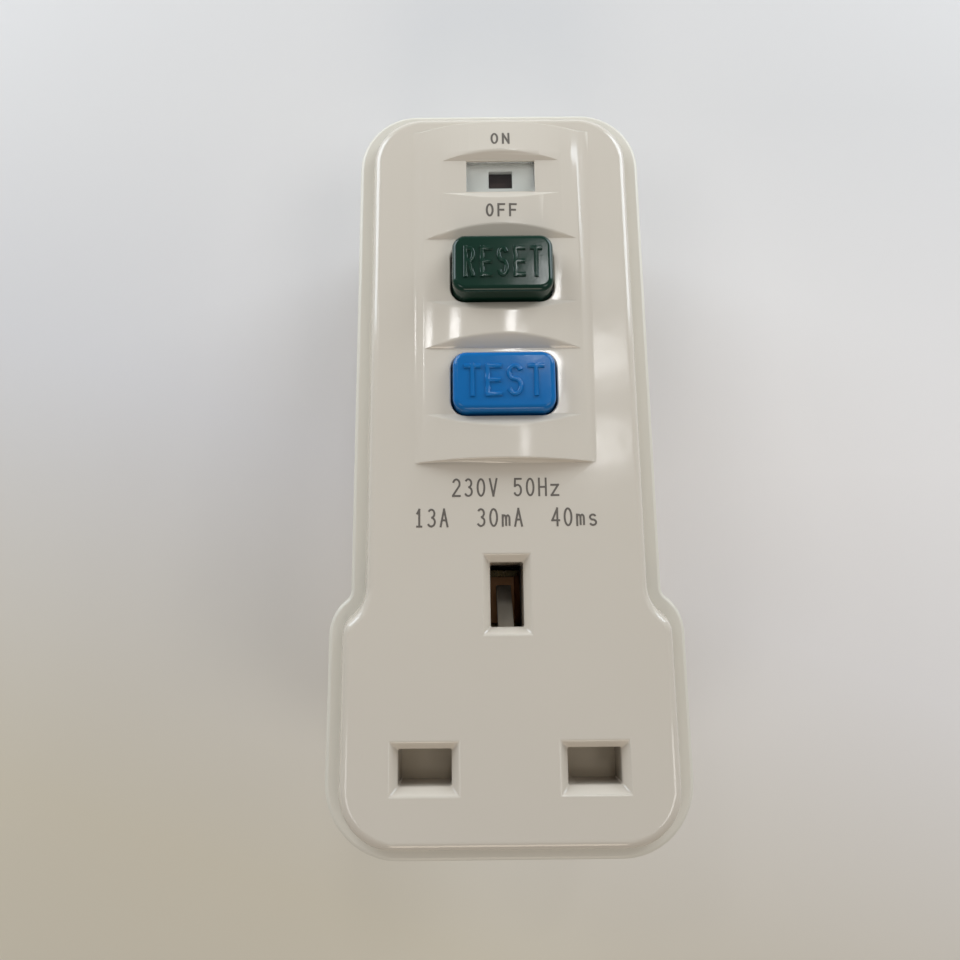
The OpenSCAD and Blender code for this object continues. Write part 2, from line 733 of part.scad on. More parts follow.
// Shaft with the groove that the latch plate catches
module reset_shaft() color("#b9bcc0") {
  groove_d0 = latch_d0 - reset_travel - 0.4;
  groove_d1 = latch_d1 - reset_travel + 0.4;
  rod(reset_top_d + 1.8, groove_d0, [0, reset_z], shaft_r);
  rod(groove_d0 - 0.2, groove_d1 + 0.2, [0, reset_z], shaft_r - 0.65);
  rod(groove_d1, groove_d1 + 1.2, [0, reset_z], shaft_r);
}

module reset_spring() color("#c2c4c6") {
  depth_spring(collar_d1, plate_d0, [0, reset_z], 4.2, spring_wire, spring_coils + 0.2);
}

module test_spring() color("#c2c4c6") {
  depth_spring(collar_d1, plate_d0, [0, test_z], 4.2, spring_wire, spring_coils + 0.2);
}

// Blade that the test button presses on
module test_contact_blade() color("#c9a24a") {
  d0 = moving_tip_d0 - 2.3 + test_travel + 0.1;
  z0 = chassis_z0 + 1;
  bar(d0, d0 + 0.4, [0, (z0 + test_z + 2.5) / 2], 4, test_z + 2.5 - z0);
  bar(d0, board_d, [0, z0 + 0.2], 4, 0.4);
}

// Flag
module flag_sector(r0, r1, a0, a1, w) {
  translate([-w / 2, flag_pivot_d - body_depth, flag_pivot_z]) rotate([0, 90, 0]) rotate([0, 0, a0 - 90])
    rotate_extrude(angle = a1 - a0, $fn = 96) translate([r0, 0]) square([r1 - r0, w]);
}

module flag_lever() color("#1b1718") {
  difference() {
    union() {
      flag_sector(flag_r - 0.9, flag_r - 0.4, -flag_black_ang, flag_red_ang, flag_w);
      flag_sector(flag_r - 0.6, flag_r, -flag_black_ang, flag_split_ang, flag_w);
      flag_sector(1, flag_r - 0.7, -flag_black_ang, flag_red_ang, 1.6);
      axle(-2.3, 2.3, flag_pivot_d, flag_pivot_z, flag_hub_r);
      bar(flag_pivot_d - flag_arm_t / 2, flag_pivot_d + flag_arm_t / 2,
        [0, flag_pivot_z - flag_arm_r / 2], 2.4, flag_arm_r);
    }
    axle(-4, 4, flag_pivot_d, flag_pivot_z, flag_pin_r + 0.1);
  }
}

module flag_red_tile() color("#b3202a") {
  flag_sector(flag_r - 0.4 + 0.02, flag_r, flag_split_ang + 0.3, flag_red_ang, flag_w);
}

module flag_pivot_pin() color("#b9bcc0") {
  axle(-5.8, 5.8, flag_pivot_d, flag_pivot_z, flag_pin_r);
}

// Shutter: a plate over the live and neutral slots with a ramp in the earth slot
module shutter() color("#f6f5ef") {
  difference() {
    union() {
      bar(shutter_d0, shutter_d1, [0, 0], 2 * shutter_x, 2 * shutter_half);
      bar(shutter_d0, shutter_d1, [0, (bridge_z1 - shutter_half) / 2], 12, bridge_z1 + shutter_half);
    }
    bar(shutter_d0 - 1, shutter_d1 + 1, [0, spring_top_z / 2 - 5], 4.4, spring_top_z + 10);
  }
  across(0, ramp_w) polygon([[shutter_d0, 5], [shutter_d0, ramp_z0], [ramp_d1, ramp_z1],
    [ramp_d1 + 1.8, ramp_z1], [shutter_d1, ramp_z0 - 1.5], [shutter_d1, 5]]);
}

module shutter_spring() color("#c2c4c6") {
  translate([0, (shutter_d0 + shutter_d1) / 2 - body_depth, well_z])
    spring(spring_top_z - well_z, 1.4, 0.4, 9);
}

// Moulded carrier that holds the three contact clips behind the shutter
module contact_carrier() color("#d8d4c6") {
  wall = 1.2;
  clip_half = clip_gap / 2 + leaf_t + 0.1;
  difference() {
    union() {
      bar(carrier_d0, carrier_d1, [0, carrier_z0 + carrier_h / 2], carrier_w, carrier_h);
      for (side = [-1, 1]) {
        bar(carrier_d0, clip_d1 - 2.2, [side * pin_pitch / 2, 0], slot_w + 2.4, 2 * (clip_half + wall));
        rod(face_wall, carrier_d0 + 0.5, [side * 11, 9.6], 1.8);
        rod(face_wall, carrier_d0 + 0.5, [side * 8, 26.2], 1.8);
      }
      bar(carrier_d0, earth_clip_d1 - 1.8, [0, earth_z], 2 * (clip_half + wall), earth_slot_h + 1.4);
    }
    for (side = [-1, 1]) {
      bar(carrier_d0 - 1, carrier_d1 + 0.1, [side * pin_pitch / 2, 0], slot_w, clip_gap + 0.6);
      bar(carrier_d1, clip_d1, [side * pin_pitch / 2, 0], slot_w + 0.2, 2 * clip_half);
    }
    bar(carrier_d0 - 1, carrier_d1 + 0.1, [0, earth_z], clip_gap + 0.4, earth_slot_h + 0.4);
    bar(carrier_d1, earth_clip_d1, [0, earth_z], 2 * clip_half, earth_slot_h + 4);
    bar(carrier_d0 - 1, earth_clip_d1, [0, (ramp_slot_z0 + earth_z) / 2], ramp_w + 1.2,
      earth_z - ramp_slot_z0);
    bar(carrier_d0 - 1, carrier_d1 + 1, [0, -4], 5, 14);
    at_posts() rod(post_d - 0.5, earth_clip_d1 + 1, [0, 0], boss_r + slide);
  }
}

// Contact clip of two leaves on a base, drawn with its mouth to the front
module clip_profile(d1, lip) {
  g = clip_gap / 2;
  polygon([[clip_d0, g + lip], [clip_d0 + 1.2, g], [d1 - leaf_t, g], [d1 - leaf_t, -g], [clip_d0 + 1.2, -g],
    [clip_d0, -g - lip], [clip_d0, -g - leaf_t], [d1, -g - leaf_t], [d1, g + leaf_t], [clip_d0, g + leaf_t]]);
}

module live_clip() color("#b87a3c") {
  across(pin_pitch / 2, slot_w - 0.4) clip_profile(clip_d1, 0.3);
}

module neutral_clip() color("#b87a3c") {
  across(-pin_pitch / 2, slot_w - 0.4) clip_profile(clip_d1, 0.3);
}

module earth_clip() color("#b87a3c") {
  w = earth_h - 0.3;
  translate([0, -body_depth, earth_z - w / 2]) linear_extrude(w)
    rotate([0, 0, 90]) mirror([0, 1]) clip_profile(earth_clip_d1, 0.3);
}

// Pin with a tapered tip, its middle on the height line
module pin_bar(d0, d1, at, w, h) {
  bar(d0, d1 - pin_tip, at, w, h);
  loft([[d1 - pin_tip, frame_outline(at, w, h)], [d1, frame_outline(at, w - pin_tip, h - pin_tip)]]);
}

module line_pin(side) {
  at = [side * pin_pitch / 2, 0];
  bar(flange_d0, flange_d1, at, pin_w + 2 * flange_over, pin_h + 2 * flange_over);
  bar(flange_d1 - 0.5, body_depth, at, pin_w, pin_h);
  bar(body_depth - 0.5, body_depth + sleeve_len + 0.5, at, pin_w - 2 * sleeve_t, pin_h - 2 * sleeve_t);
  pin_bar(body_depth + sleeve_len, body_depth + pin_len, at, pin_w, pin_h);
}

module live_pin() color("#d8b45a") {
  line_pin(1);
}

module neutral_pin() color("#d8b45a") {
  line_pin(-1);
}

module earth_pin() color("#d8b45a") {
  at = [0, earth_z];
  rod(earth_clip_d1, flange_d0 + 0.5, at, stub_r);
  bar(flange_d0, flange_d1, at, earth_w + 3, earth_h + 3);
  pin_bar(flange_d1 - 0.5, body_depth + earth_len, at, earth_w, earth_h);
}

module pin_sleeve(side) {
  at = [side * pin_pitch / 2, 0];
  difference() {
    bar(body_depth + 0.02, body_depth + sleeve_len - 0.02, at, pin_w, pin_h);
    bar(body_depth - 1, body_depth + sleeve_len + 1, at, pin_w - 2 * sleeve_t + 0.04,
      pin_h - 2 * sleeve_t + 0.04);
  }
}

module live_sleeve() color("#24262a") {
  pin_sleeve(1);
}

module neutral_sleeve() color("#24262a") {
  pin_sleeve(-1);
}

// Frame that carries the mechanism in front of the circuit board
module chassis() color("#c9c4b4") {
  mid = (chassis_z0 + chassis_z1) / 2;
  side_mid = (chassis_side_z0 + chassis_z1) / 2;
  difference() {
    union() {
      bar(plate_d0, plate_d1, [0, mid], 2 * (chassis_x + chassis_wall), chassis_z1 - chassis_z0);
      for (side = [-1, 1]) {
        bar(plate_d0, board_d, [side * (chassis_x + chassis_wall / 2), side_mid], chassis_wall,
          chassis_z1 - chassis_side_z0);
        bar(ledge_d0, ledge_d0 + 1.4, [side * (chassis_x - 0.75), reset_z], 2.5, 8);
        across(side * 4.9, 1.4) polygon([[plate_d0, chassis_z1 - 3], [plate_d0, window_z + 2.2],
          [flag_bearing_d1, window_z + 2.2], [flag_bearing_d1, window_z - 1.8],
          [plate_d1, chassis_z1 - 0.2], [plate_d1, chassis_z1 - 3]]);
      }
    }
    rod(plate_d0 - 1, plate_d1 + 1, [0, reset_z], shaft_r + slide);
    bar(plate_d0 - 1, plate_d1 + 1, [0, test_z], 5.4, 3.4);
    bar(plate_d0 - 1, plate_d1 + 1, [0, chassis_z1], 5.4, 10);
    axle(-8, 8, flag_pivot_d, flag_pivot_z, flag_pin_r + 0.02);
  }
}

// Carriage that lifts both moving contacts
module contact_carriage() color("#3d4043") {
  finger_z = flag_pivot_z - 5.8;
  difference() {
    union() {
      bar(hub_d0, hub_d1, [0, reset_z], 10, 2 * hub_half);
      bar(blade_d1, arm_d1, [0, reset_z], 2 * chassis_x - 2, 5);
    }
    rod(hub_d0 - 1, hub_d1 + 1, [0, reset_z], shaft_r + slide + 0.1);
    bar(latch_d0 - 0.1, latch_d1 + 0.1, [0, reset_z], 6.2, 2 * hub_half + 2);
  }
  bar(blade_d1 + 0.1, finger_d1, [0, (reset_z + hub_half - 0.5 + finger_z) / 2], 2.4,
    finger_z - reset_z - hub_half + 0.5);
  bar(flag_pivot_d + flag_arm_t / 2 + 0.2, blade_d1 + 0.6, [0, finger_z - 0.6], 2.4, 1.2);
}

module moving_contact(side) {
  bar(blade_d0, blade_d1, [side * pole_x, reset_z], blade_w, 17);
  for (z = [low_tip_z, high_tip_z]) rod(moving_tip_d0, blade_d0 + 0.2, [side * pole_x, z], tip_r);
}

module live_moving_contact() color("#c98a4b") {
  moving_contact(1);
}

module neutral_moving_contact() color("#c98a4b") {
  moving_contact(-1);
}

// Strip from a fixed contact down to a socket clip
module load_strip(side) {
  x = side * pole_x;
  turn_z = 30.6;
  bar(plate_d1, strip_d1, [x, (low_tip_z + 2.3 + turn_z) / 2], blade_w, low_tip_z + 2.3 - turn_z);
  bar(plate_d1, clip_d1 + blade_t, [x, turn_z], blade_w, blade_t);
  bar(clip_d1, clip_d1 + blade_t, [x, (turn_z - 2.6) / 2], blade_w, turn_z + 2.6);
  rod(strip_d1 - 0.2, tip_d1, [x, low_tip_z], tip_r);
}

module live_load_strip() color("#c98a4b") {
  load_strip(1);
}

module neutral_load_strip() color("#c98a4b") {
  load_strip(-1);
}

module line_contact(side) {
  x = side * pole_x;
  bar(plate_d1, strip_d1, [x, high_tip_z + 2], blade_w, 9.2);
  rod(strip_d1 - 0.2, tip_d1, [x, high_tip_z], tip_r);
}

module live_line_contact() color("#c98a4b") {
  line_contact(1);
}

module neutral_line_contact() color("#c98a4b") {
  line_contact(-1);
}

// Plate in the carriage that catches the shaft, with a slotted tab round the plunger's neck
module latch_plate() color("#9a9da2") {
  z0 = reset_z - 6.5;
  wide_z = reset_z + hub_half + 0.3;
  hole = shaft_r + 0.2;
  difference() {
    union() {
      bar(latch_d0, latch_d1, [0, (z0 + latch_tab_z + 1) / 2], 5.8, latch_tab_z + 1 - z0);
      bar(latch_d0, latch_d1, [0, (wide_z + latch_tab_z + 1) / 2], 8.8, latch_tab_z + 1 - wide_z);
      bar(tab_slot_d0 - 0.8, tab_slot_d1 + 0.6, [0, latch_tab_z + 0.5], 5.8, 1);
    }
    rod(latch_d0 - 1, latch_d1 + 1, [0, reset_z], hole);
    rod(latch_d0 - 1, latch_d1 + 1, [0, reset_z - plunger_travel], hole);
    bar(latch_d0 - 1, latch_d1 + 1, [0, reset_z - plunger_travel / 2], 2 * hole, plunger_travel);
    bar(tab_slot_d0, tab_slot_d1, [0, latch_tab_z + 0.5], 2 * plunger_neck_r + 0.4, 2);
    bar(latch_d0 - 2, latch_d1 + 0.01, [0, latch_tab_z - 1.1], 5.4, 2.2);
  }
}

module trip_spring() color("#c2c4c6") {
  depth_spring(plate_d1, hub_d0, [0, reset_z], 3.4, 0.4, 3);
}

module plunger() color("#a6a9ad") {
  z = latch_tab_z;
  pillar(z - 1.3, z - 0.3, 0, solenoid_d, 2.2);
  pillar(z - 0.5, z + 1.8, 0, solenoid_d, plunger_neck_r);
  pillar(z + 1.6, z + 2.1, 0, solenoid_d, plunger_disc_r);
  pillar(z + 1.9, z + plunger_len, 0, solenoid_d, plunger_r);
}

module plunger_spring() color("#c2c4c6") {
  translate([0, solenoid_d - body_depth, latch_tab_z + 2.1]) spring(yoke_z0 - latch_tab_z - 2.1, 2.1, 0.4, 4);
}

module coil_bobbin() color("#e4dcc0") {
  difference() {
    union() {
      pillar(yoke_z0 + yoke_t + fit, yoke_z0 + yoke_t + 0.85, 0, solenoid_d, bobbin_r);
      pillar(yoke_z1 - yoke_t - 0.85, yoke_z1 - yoke_t - fit, 0, solenoid_d, bobbin_r);
      pillar(yoke_z0 + yoke_t + 0.2, yoke_z1 - yoke_t - 0.2, 0, solenoid_d, plunger_r + 0.8);
    }
    pillar(yoke_z0, yoke_z1, 0, solenoid_d, plunger_r + slide);
  }
}

module coil_winding() color("#a3552b") {
  difference() {
    pillar(yoke_z0 + yoke_t + 0.9, yoke_z1 - yoke_t - 0.9, 0, solenoid_d, coil_r);
    pillar(yoke_z0, yoke_z1, 0, solenoid_d, plunger_r + 0.8 + fit);
  }
}

module coil_yoke() color("#84878c") {
  w = 2 * bobbin_r + 0.6;
  d0 = yoke_front_d;
  difference() {
    union() {
      bar(d0, yoke_back_d + 0.2, [0, yoke_z0 + yoke_t / 2], w, yoke_t);
      bar(d0, yoke_back_d + 0.2, [0, yoke_z1 - yoke_t / 2], w, yoke_t);
      bar(yoke_back_d, yoke_back_d + yoke_t, [0, (yoke_z0 + yoke_z1) / 2], w, yoke_z1 - yoke_z0);
      bar(yoke_back_d + 0.5, board_d, [0, yoke_z0 + 1.5], w, 3);
    }
    pillar(yoke_z0 - 1, yoke_z0 + yoke_t + 1, 0, solenoid_d, plunger_r + slide);
  }
}

// Sensing transformer round both leads
module sensing_core() color("#55585c") {
  difference() {
    pillar(core_z, core_z + core_h, 0, core_d, core_r);
    pillar(core_z - 1, core_z + core_h + 1, 0, core_d, core_in_r);
  }
}

module sensing_winding() color("#b0642f") {
  t = winding_t;
  translate([0, core_d - body_depth, core_z]) rotate([0, 0, 120]) rotate_extrude(angle = 300, $fn = 96)
    difference() {
      translate([core_in_r - t, -t]) square([core_r - core_in_r + 2 * t, core_h + 2 * t]);
      translate([core_in_r - fit, -fit]) square([core_r - core_in_r + 2 * fit, core_h + 2 * fit]);
    }
}

// Seat of the sensing core on the board, at the bare stretch of the core
module core_cradle() color("#d8d4c6") {
  difference() {
    bar(board_d - 2.4, board_d, [0, core_z + core_h / 2], 5.6, core_h - 1.4);
    pillar(core_z - 1, core_z + core_h + 1, 0, core_d, core_r + fit);
  }
}

// Insulated lead from a plug pin's flange up through the sensing core to a line contact
function lead_route(side) =
  let (x = side * pin_pitch / 2, out = side * lead_side_x, d = flange_d0 + 0.8, mid = (d + core_d) / 2)
  [[x, d, pin_h / 2 + flange_over + 3], [side * 9.8, mid, 14], [side * 7.2, core_d + 1.5, 25.5],
    [side * 2.1, core_d + 0.5, core_z - 2], [side * 1.7, core_d, core_z + core_h / 2],
    [side * 2.1, core_d + 0.5, core_z + core_h + 2.3], [side * 7, core_d + 2, lead_top_z],
    [side * 13, lead_back_d - 0.5, lead_top_z + 0.6], [out, lead_back_d, lead_top_z + 5.4],
    [out, lead_back_d, reset_z - 8.5], [out, lead_back_d - 0.5, reset_z + 4.5],
    [out, lead_back_d - 1.5, reset_z + 11], [out - side, lead_back_d - 3.7, lead_end_z + 2.4],
    [side * (pole_x + 2.5), strip_d1 + 6.1, lead_end_z + 2.4], [side * pole_x, strip_d1 + 2.6, lead_end_z]];

module lead(side) {
  start = [side * pin_pitch / 2, flange_d0 + 0.8, pin_h / 2 + flange_over + 0.03];
  end = [side * pole_x, strip_d1 + 0.03, lead_end_z];
  route = concat([start], smooth(lead_route(side), 3), [end]);
  tube([for (p = route) [p[0], p[1] - body_depth, p[2]]], lead_r, 8, [0, 1, 0]);
}

module live_lead() color("#7a4a2c") {
  lead(1);
}

module neutral_lead() color("#2f6fb5") {
  lead(-1);
}

// Circuit board and the parts on it
module circuit_board() color("#2f6b46") {
  difference() {
    bar(board_d, board_d1, [0, board_z0 + board_len / 2], board_w, board_len);
    for (p = board_posts) rod(board_d - 1, board_d1 + 1, p, 1.3);
    at_posts() rod(board_d - 1, board_d1 + 1, [0, 0], boss_r + slide);
  }
}

module board_screws() color("#8d9096") {
  for (p = board_posts) {
    rod(board_d - 1.4, board_d - fit, p, 2.1);
    rod(board_d - 0.5, rear_in_d - 2, p, 1.1);
  }
}

module control_chip() color("#26282b") {
  bar(board_d - 1.6, board_d, [3.5, test_z + 2.3], 5, 4);
}

module thyristor() color("#2b2d30") {
  intersection() {
    rod(board_d - 5, board_d, [-3.5, test_z + 3], 2.4);
    bar(board_d - 6, board_d + 1, [-3.5, test_z + 3.5], 6, 4);
  }
}

module varistor() color("#3f6fa8") {
  x1 = -8;
  axle(x1 - varistor_t, x1, board_d - varistor_r, test_z - 0.5, varistor_r);
}

module capacitor() color("#31353c") {
  rod(board_d - capacitor_h, board_d, [9.6, test_z - 1.1], capacitor_r);
}

module test_resistor() color("#c7b48a") {
  axle(5, 12.4, board_d - 1.3, test_z + 6.3, 1.3);
}

front_cover();
rear_cover();
case_screws();
window_lens();
window_mask();
reset_button();
reset_shaft();
reset_spring();
test_button();
test_spring();
test_contact_blade();
flag_lever();
flag_red_tile();
flag_pivot_pin();
shutter();
shutter_spring();
contact_carrier();
live_clip();
neutral_clip();
earth_clip();
live_pin();
neutral_pin();
earth_pin();
live_sleeve();
neutral_sleeve();
chassis();
contact_carriage();
live_moving_contact();
neutral_moving_contact();
live_load_strip();
neutral_load_strip();
live_line_contact();
neutral_line_contact();
latch_plate();
trip_spring();
plunger();
plunger_spring();
coil_bobbin();
coil_winding();
coil_yoke();
sensing_core();
sensing_winding();
core_cradle();
live_lead();
neutral_lead();
circuit_board();
board_screws();
control_chip();
thyristor();
varistor();
capacitor();
test_resistor();
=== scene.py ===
"""Looks of a plug-in residual current adapter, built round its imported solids."""

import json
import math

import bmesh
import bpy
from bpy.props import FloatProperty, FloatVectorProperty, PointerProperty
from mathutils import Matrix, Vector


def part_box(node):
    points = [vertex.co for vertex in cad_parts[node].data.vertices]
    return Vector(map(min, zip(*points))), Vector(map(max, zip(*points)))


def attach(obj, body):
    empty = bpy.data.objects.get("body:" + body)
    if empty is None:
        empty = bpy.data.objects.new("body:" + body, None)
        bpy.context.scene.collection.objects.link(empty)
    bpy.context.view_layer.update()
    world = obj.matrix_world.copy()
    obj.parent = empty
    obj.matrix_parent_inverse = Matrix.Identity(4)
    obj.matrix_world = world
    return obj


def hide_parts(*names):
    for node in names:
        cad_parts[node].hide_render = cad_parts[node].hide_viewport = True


bl_info = {
    "name": "Residual current adapter",
    "version": (1, 0, 0),
    "blender": (4, 5, 0),
    "location": "View3D > Sidebar > Adapter",
    "description": "Finishes, raised words, screws, springs and stage of a plug-in adapter",
    "category": "Object",
}

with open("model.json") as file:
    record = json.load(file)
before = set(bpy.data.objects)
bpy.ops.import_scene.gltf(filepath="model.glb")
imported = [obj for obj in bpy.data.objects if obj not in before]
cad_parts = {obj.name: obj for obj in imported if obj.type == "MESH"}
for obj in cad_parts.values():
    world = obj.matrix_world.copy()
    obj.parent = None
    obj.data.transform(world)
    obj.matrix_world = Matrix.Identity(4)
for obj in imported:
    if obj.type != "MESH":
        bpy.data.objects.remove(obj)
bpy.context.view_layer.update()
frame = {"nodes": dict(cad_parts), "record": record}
MM = 0.001
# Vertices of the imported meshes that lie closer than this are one
WELD = 2e-6
# Height between the slots, towards which the rim is drawn in
SOCKET_Z = 18 * MM
# Share of a case screw's shank that has a thread
THREADED = 0.92
# Turns a drawing of X to the right and Y up into one on the front, which faces -Y
UPRIGHT = Matrix.Rotation(math.radians(90), 4, "X")
BODY_OF = {n: b for b, nodes in frame["record"]["behaviour"]["bodies"].items() for n in nodes}
SLOT_OF = {part["node"]: part["material_slot"] for part in frame["record"]["subparts"]}


# Settings

def length(name, text, mm):
    return FloatProperty(name=name, description=text, default=mm * MM, unit="LENGTH", subtype="DISTANCE",
                         precision=6)


def number(name, text, value):
    return FloatProperty(name=name, description=text, default=value)


def power(name, text, watts):
    return FloatProperty(name=name, description=text, default=watts, unit="POWER")


def colour(name, text, rgb):
    return FloatVectorProperty(name=name, description=text, default=rgb, size=3, subtype="COLOR", min=0, max=1)


def place(name, text, metres):
    return FloatVectorProperty(name=name, description=text, default=metres, size=3, subtype="TRANSLATION",
                               precision=6)


class AdapterSizes(bpy.types.PropertyGroup):
    """Sizes of the dressing, in metres"""
    cover_edge: length("Cover edge", "Rounding of the covers' sharp edges", 0.22)
    button_edge: length("Button edge", "Rounding of the buttons' sharp edges", 0.12)
    trim_edge: length("Trim edge", "Rounding of the small inner parts that show", 0.1)
    pin_edge: length("Pin edge", "Rounding of the plug pins' edges", 0.3)
    word_h: length("Word height", "Height of the raised words on the buttons", 4.7)
    word_w: length("Word width", "Width of the raised words on the buttons", 11.2)
    letter_gap: length("Letter gap", "Space between raised letters", 0.62)
    word_stroke: length("Word stroke", "Width of a raised letter's stroke", 0.66)
    word_rise: length("Word rise", "Height of the raised letters over the button", 0.26)
    mark_h: length("Mark height", "Height of the printed marks at the window", 2.1)
    mark_w: length("Mark width", "Width of a printed letter", 1.15)
    mark_gap: length("Mark gap", "Space between printed letters", 0.55)
    mark_stroke: length("Mark stroke", "Width of a printed stroke", 0.3)
    mark_rise: length("Ink thickness", "Height of the ink over the panel", 0.03)
    mark_on_z: length("Upper mark", "Height of the mark over the window", 89.8)
    mark_off_z: length("Lower mark", "Height of the mark under the window", 77.8)
    rating_h: length("Rating height", "Height of the printed ratings on the face", 2.6)
    rating_w: length("Rating width", "Width of a letter or digit of the ratings", 1.2)
    rating_gap: length("Rating gap", "Space between letters of the ratings", 0.5)
    rating_stroke: length("Rating stroke", "Width of a stroke of the ratings", 0.27)
    rating_z: length("Upper rating", "Height of the upper line of ratings", 36.8)
    rating_step: length("Rating lines", "Distance between the two lines of ratings", 4.2)
    panel_r: length("Panel radius", "Radius of the button panel across the case", 46)
    panel_h: length("Panel height", "Height of the button panel's crest over the face", 1.9)
    panel_z: length("Panel foot", "Height at which the button panel starts", 39.5)
    panel_end: length("Panel end", "Height of the button panel's upper end", 93.3)
    panel_run: length("Panel run-out", "Length over which the panel sinks towards its upper end", 5.5)
    panel_sink: number("Panel sink", "Share of its height that the panel loses at its upper end", 0.55)
    panel_ease: length("Panel ease", "How far the panel's sides run out onto the face", 1.0)
    upper_w: length("Upper width", "Width of the case at its upper end", 45.8)
    corner_r: length("Corner radius", "Radius of the case's corners at the rim", 8.5)
    corner_ease: length("Corner ease", "How much wider the corners are at the face", 3)
    rim_forward: length("Rim forward", "How far the rear cover's rim comes forward round the front cover", 5.9)
    rim_draft: length("Rim draft", "How much the rear cover's side walls lean in up to the rim", 1.4)
    rim_top_draft: length("Rim top draft", "How much the rear cover's top wall leans in up to the rim", 0.9)
    rim_upper_ease: length("Rim upper ease", "How much wider the rim's upper corners are", 0.8)
    rim_lower_ease: length("Rim lower ease", "How much wider the rim's lower corners are", 2)
    screw_shank: length("Screw shank", "Radius of a case screw's core", 1.15)
    screw_pitch: length("Screw pitch", "Pitch of a case screw's thread", 0.8)
    screw_recess: length("Screw recess", "Length of the cross in a screw's head", 3.4)


class AdapterColours(bpy.types.PropertyGroup):
    """Colours of the finishes"""
    cover: colour("Front cover", "Gloss warm white of the front cover", (0.65, 0.58, 0.49))
    rear: colour("Rear cover", "Slightly greener white of the rear cover and its rim", (0.69, 0.64, 0.55))
    green: colour("Reset button", "Deep bottle green", (0.006, 0.030, 0.018))
    blue: colour("Test button", "Clear mid blue", (0.005, 0.133, 0.38))
    ink: colour("Ink", "Brown grey print", (0.13, 0.11, 0.09))
    mask: colour("Window mask", "Pale grey plate behind the lens", (0.50, 0.485, 0.45))
    flag: colour("Flag", "Brown black of the tripped flag", (0.038, 0.018, 0.014))
    flag_on: colour("Flag tile", "Red of the set flag", (0.45, 0.02, 0.025))
    # The shutter is white; this darker tan is painted shade for its part deep behind the live and neutral
    # slots
    shutter: colour("Shutter", "Natural white of the shutter", (0.46, 0.39, 0.29))
    # The ramp's paler tone is the shutter's own white, lit through the earth slot, beside the painted shade of
    # the rest
    ramp: colour("Shutter ramp", "Paler worn ramp behind the earth slot", (0.85, 0.78, 0.66))
    carrier: colour("Inner mouldings", "Tan of the chassis and bobbin", (0.42, 0.38, 0.30))
    # The contact carrier is tan; this near-black brown is painted shade for its part deep behind the slots
    well: colour("Contact carrier", "Dark brown of the wells behind the slots", (0.035, 0.028, 0.022))
    brass: colour("Brass", "Drawn brass of the pins", (0.80, 0.60, 0.30))
    bronze: colour("Contact strip", "Rolled bronze of the contacts", (0.62, 0.33, 0.16))
    copper: colour("Copper", "Enamelled copper wire", (0.60, 0.24, 0.10))
    steel: colour("Steel", "Bright steel", (0.58, 0.59, 0.61))


class AdapterStage(bpy.types.PropertyGroup):
    """Camera, lamps and table"""
    camera_at: place("Camera place", "Where the camera stands", (-0.003812, -0.139528, 0.017965))
    camera_turn: FloatVectorProperty(
        name="Camera turn", description="How the camera is turned", size=3, subtype="EULER",
        default=(math.radians(101.19), math.radians(0.574), math.radians(-0.0525)))
    camera_lens: number("Camera lens", "Focal length on a 36 mm frame, in millimetres", 27.75)
    # The paper's tones differ only as painted light and shade: lit on the right, darker on the left and the
    # upper side, darker and warmer at the lower edge
    table_light: colour("Table, lit side", "Paper at the right edge", (0.90, 0.865, 0.85))
    table_left: colour("Table, far side", "Paper at the left edge", (0.70, 0.685, 0.70))
    table_top: colour("Table, upper side", "Paper at the upper edge", (0.75, 0.73, 0.72))
    table_low: colour("Table, near side", "Paper at the lower edge", (0.73, 0.665, 0.545))
    room: colour("Room", "What the camera sees past the table", (0.62, 0.61, 0.61))
    ambient: number("Ambient", "Level of the light from all round", 0.215)
    key: power("Key lamp", "Large soft lamp from the right", 3.0)
    top: power("Top lamp", "Each of two soft cool lamps over the upper end", 0.75)
    low: power("Low lamp", "Warm light from below", 2.6)
    left: power("Left lamp", "Large soft lamp from the left", 2.1)
    back: power("Back lamp", "Soft lamp behind for the rear", 3.0)
    spot: power("Ceiling panels", "Each small panel that shows in the gloss", 0.6)


# Shader and geometry nodes

class Wire:
    """A socket of a node tree that takes part in plain arithmetic"""

    def __init__(self, tree, socket=None):
        self.tree = tree
        self.socket = socket

    def node(self, kind, settings=None, inputs=None, out=0):
        """Adds a node, sets it up, feeds its sockets and returns one of its outputs"""
        made = self.tree.nodes.new(kind)
        for key, value in (settings or {}).items():
            setattr(made, key, value)
        for key, value in (inputs or {}).items():
            if isinstance(value, Wire):
                self.tree.links.new(value.socket, made.inputs[key])
            else:
                made.inputs[key].default_value = value
        return Wire(self.tree, made.outputs[out]) if len(made.outputs) else Wire(self.tree)

    def math(self, operation, left, right):
        return self.node("ShaderNodeMath", {"operation": operation}, {0: left, 1: right})

    def __add__(self, other):
        return self.math("ADD", self, other)

    def __radd__(self, other):
        return self.math("ADD", other, self)

    def __sub__(self, other):
        return self.math("SUBTRACT", self, other)

    def __rsub__(self, other):
        return self.math("SUBTRACT", other, self)

    def __mul__(self, other):
        return self.math("MULTIPLY", self, other)

    def __rmul__(self, other):
        return self.math("MULTIPLY", other, self)

    def mixed(self, first, second):
        """Colour between two colours, with this value as the factor"""
        return self.node("ShaderNodeMix", {"data_type": "RGBA"}, {0: self, 6: first, 7: second}, out=2)


def tint(rgb, level=1.0):
    """Colour of a socket from a setting, made lighter or darker"""
    return (rgb[0] * level, rgb[1] * level, rgb[2] * level, 1.0)


def new_material(name):
    material = bpy.data.materials.new(name)
    material.use_nodes = True
    material.node_tree.nodes.clear()
    return material, Wire(material.node_tree)


def end_material(material, start, shader):
    start.node("ShaderNodeOutputMaterial", None, {"Surface": shader})
    return material


def end_body(material, start, inputs):
    """Ends a material in one solid body"""
    return end_material(material, start, start.node("ShaderNodeBsdfPrincipled", None, inputs))


def own_place(start):
    return start.node("ShaderNodeTexCoord", out="Object")


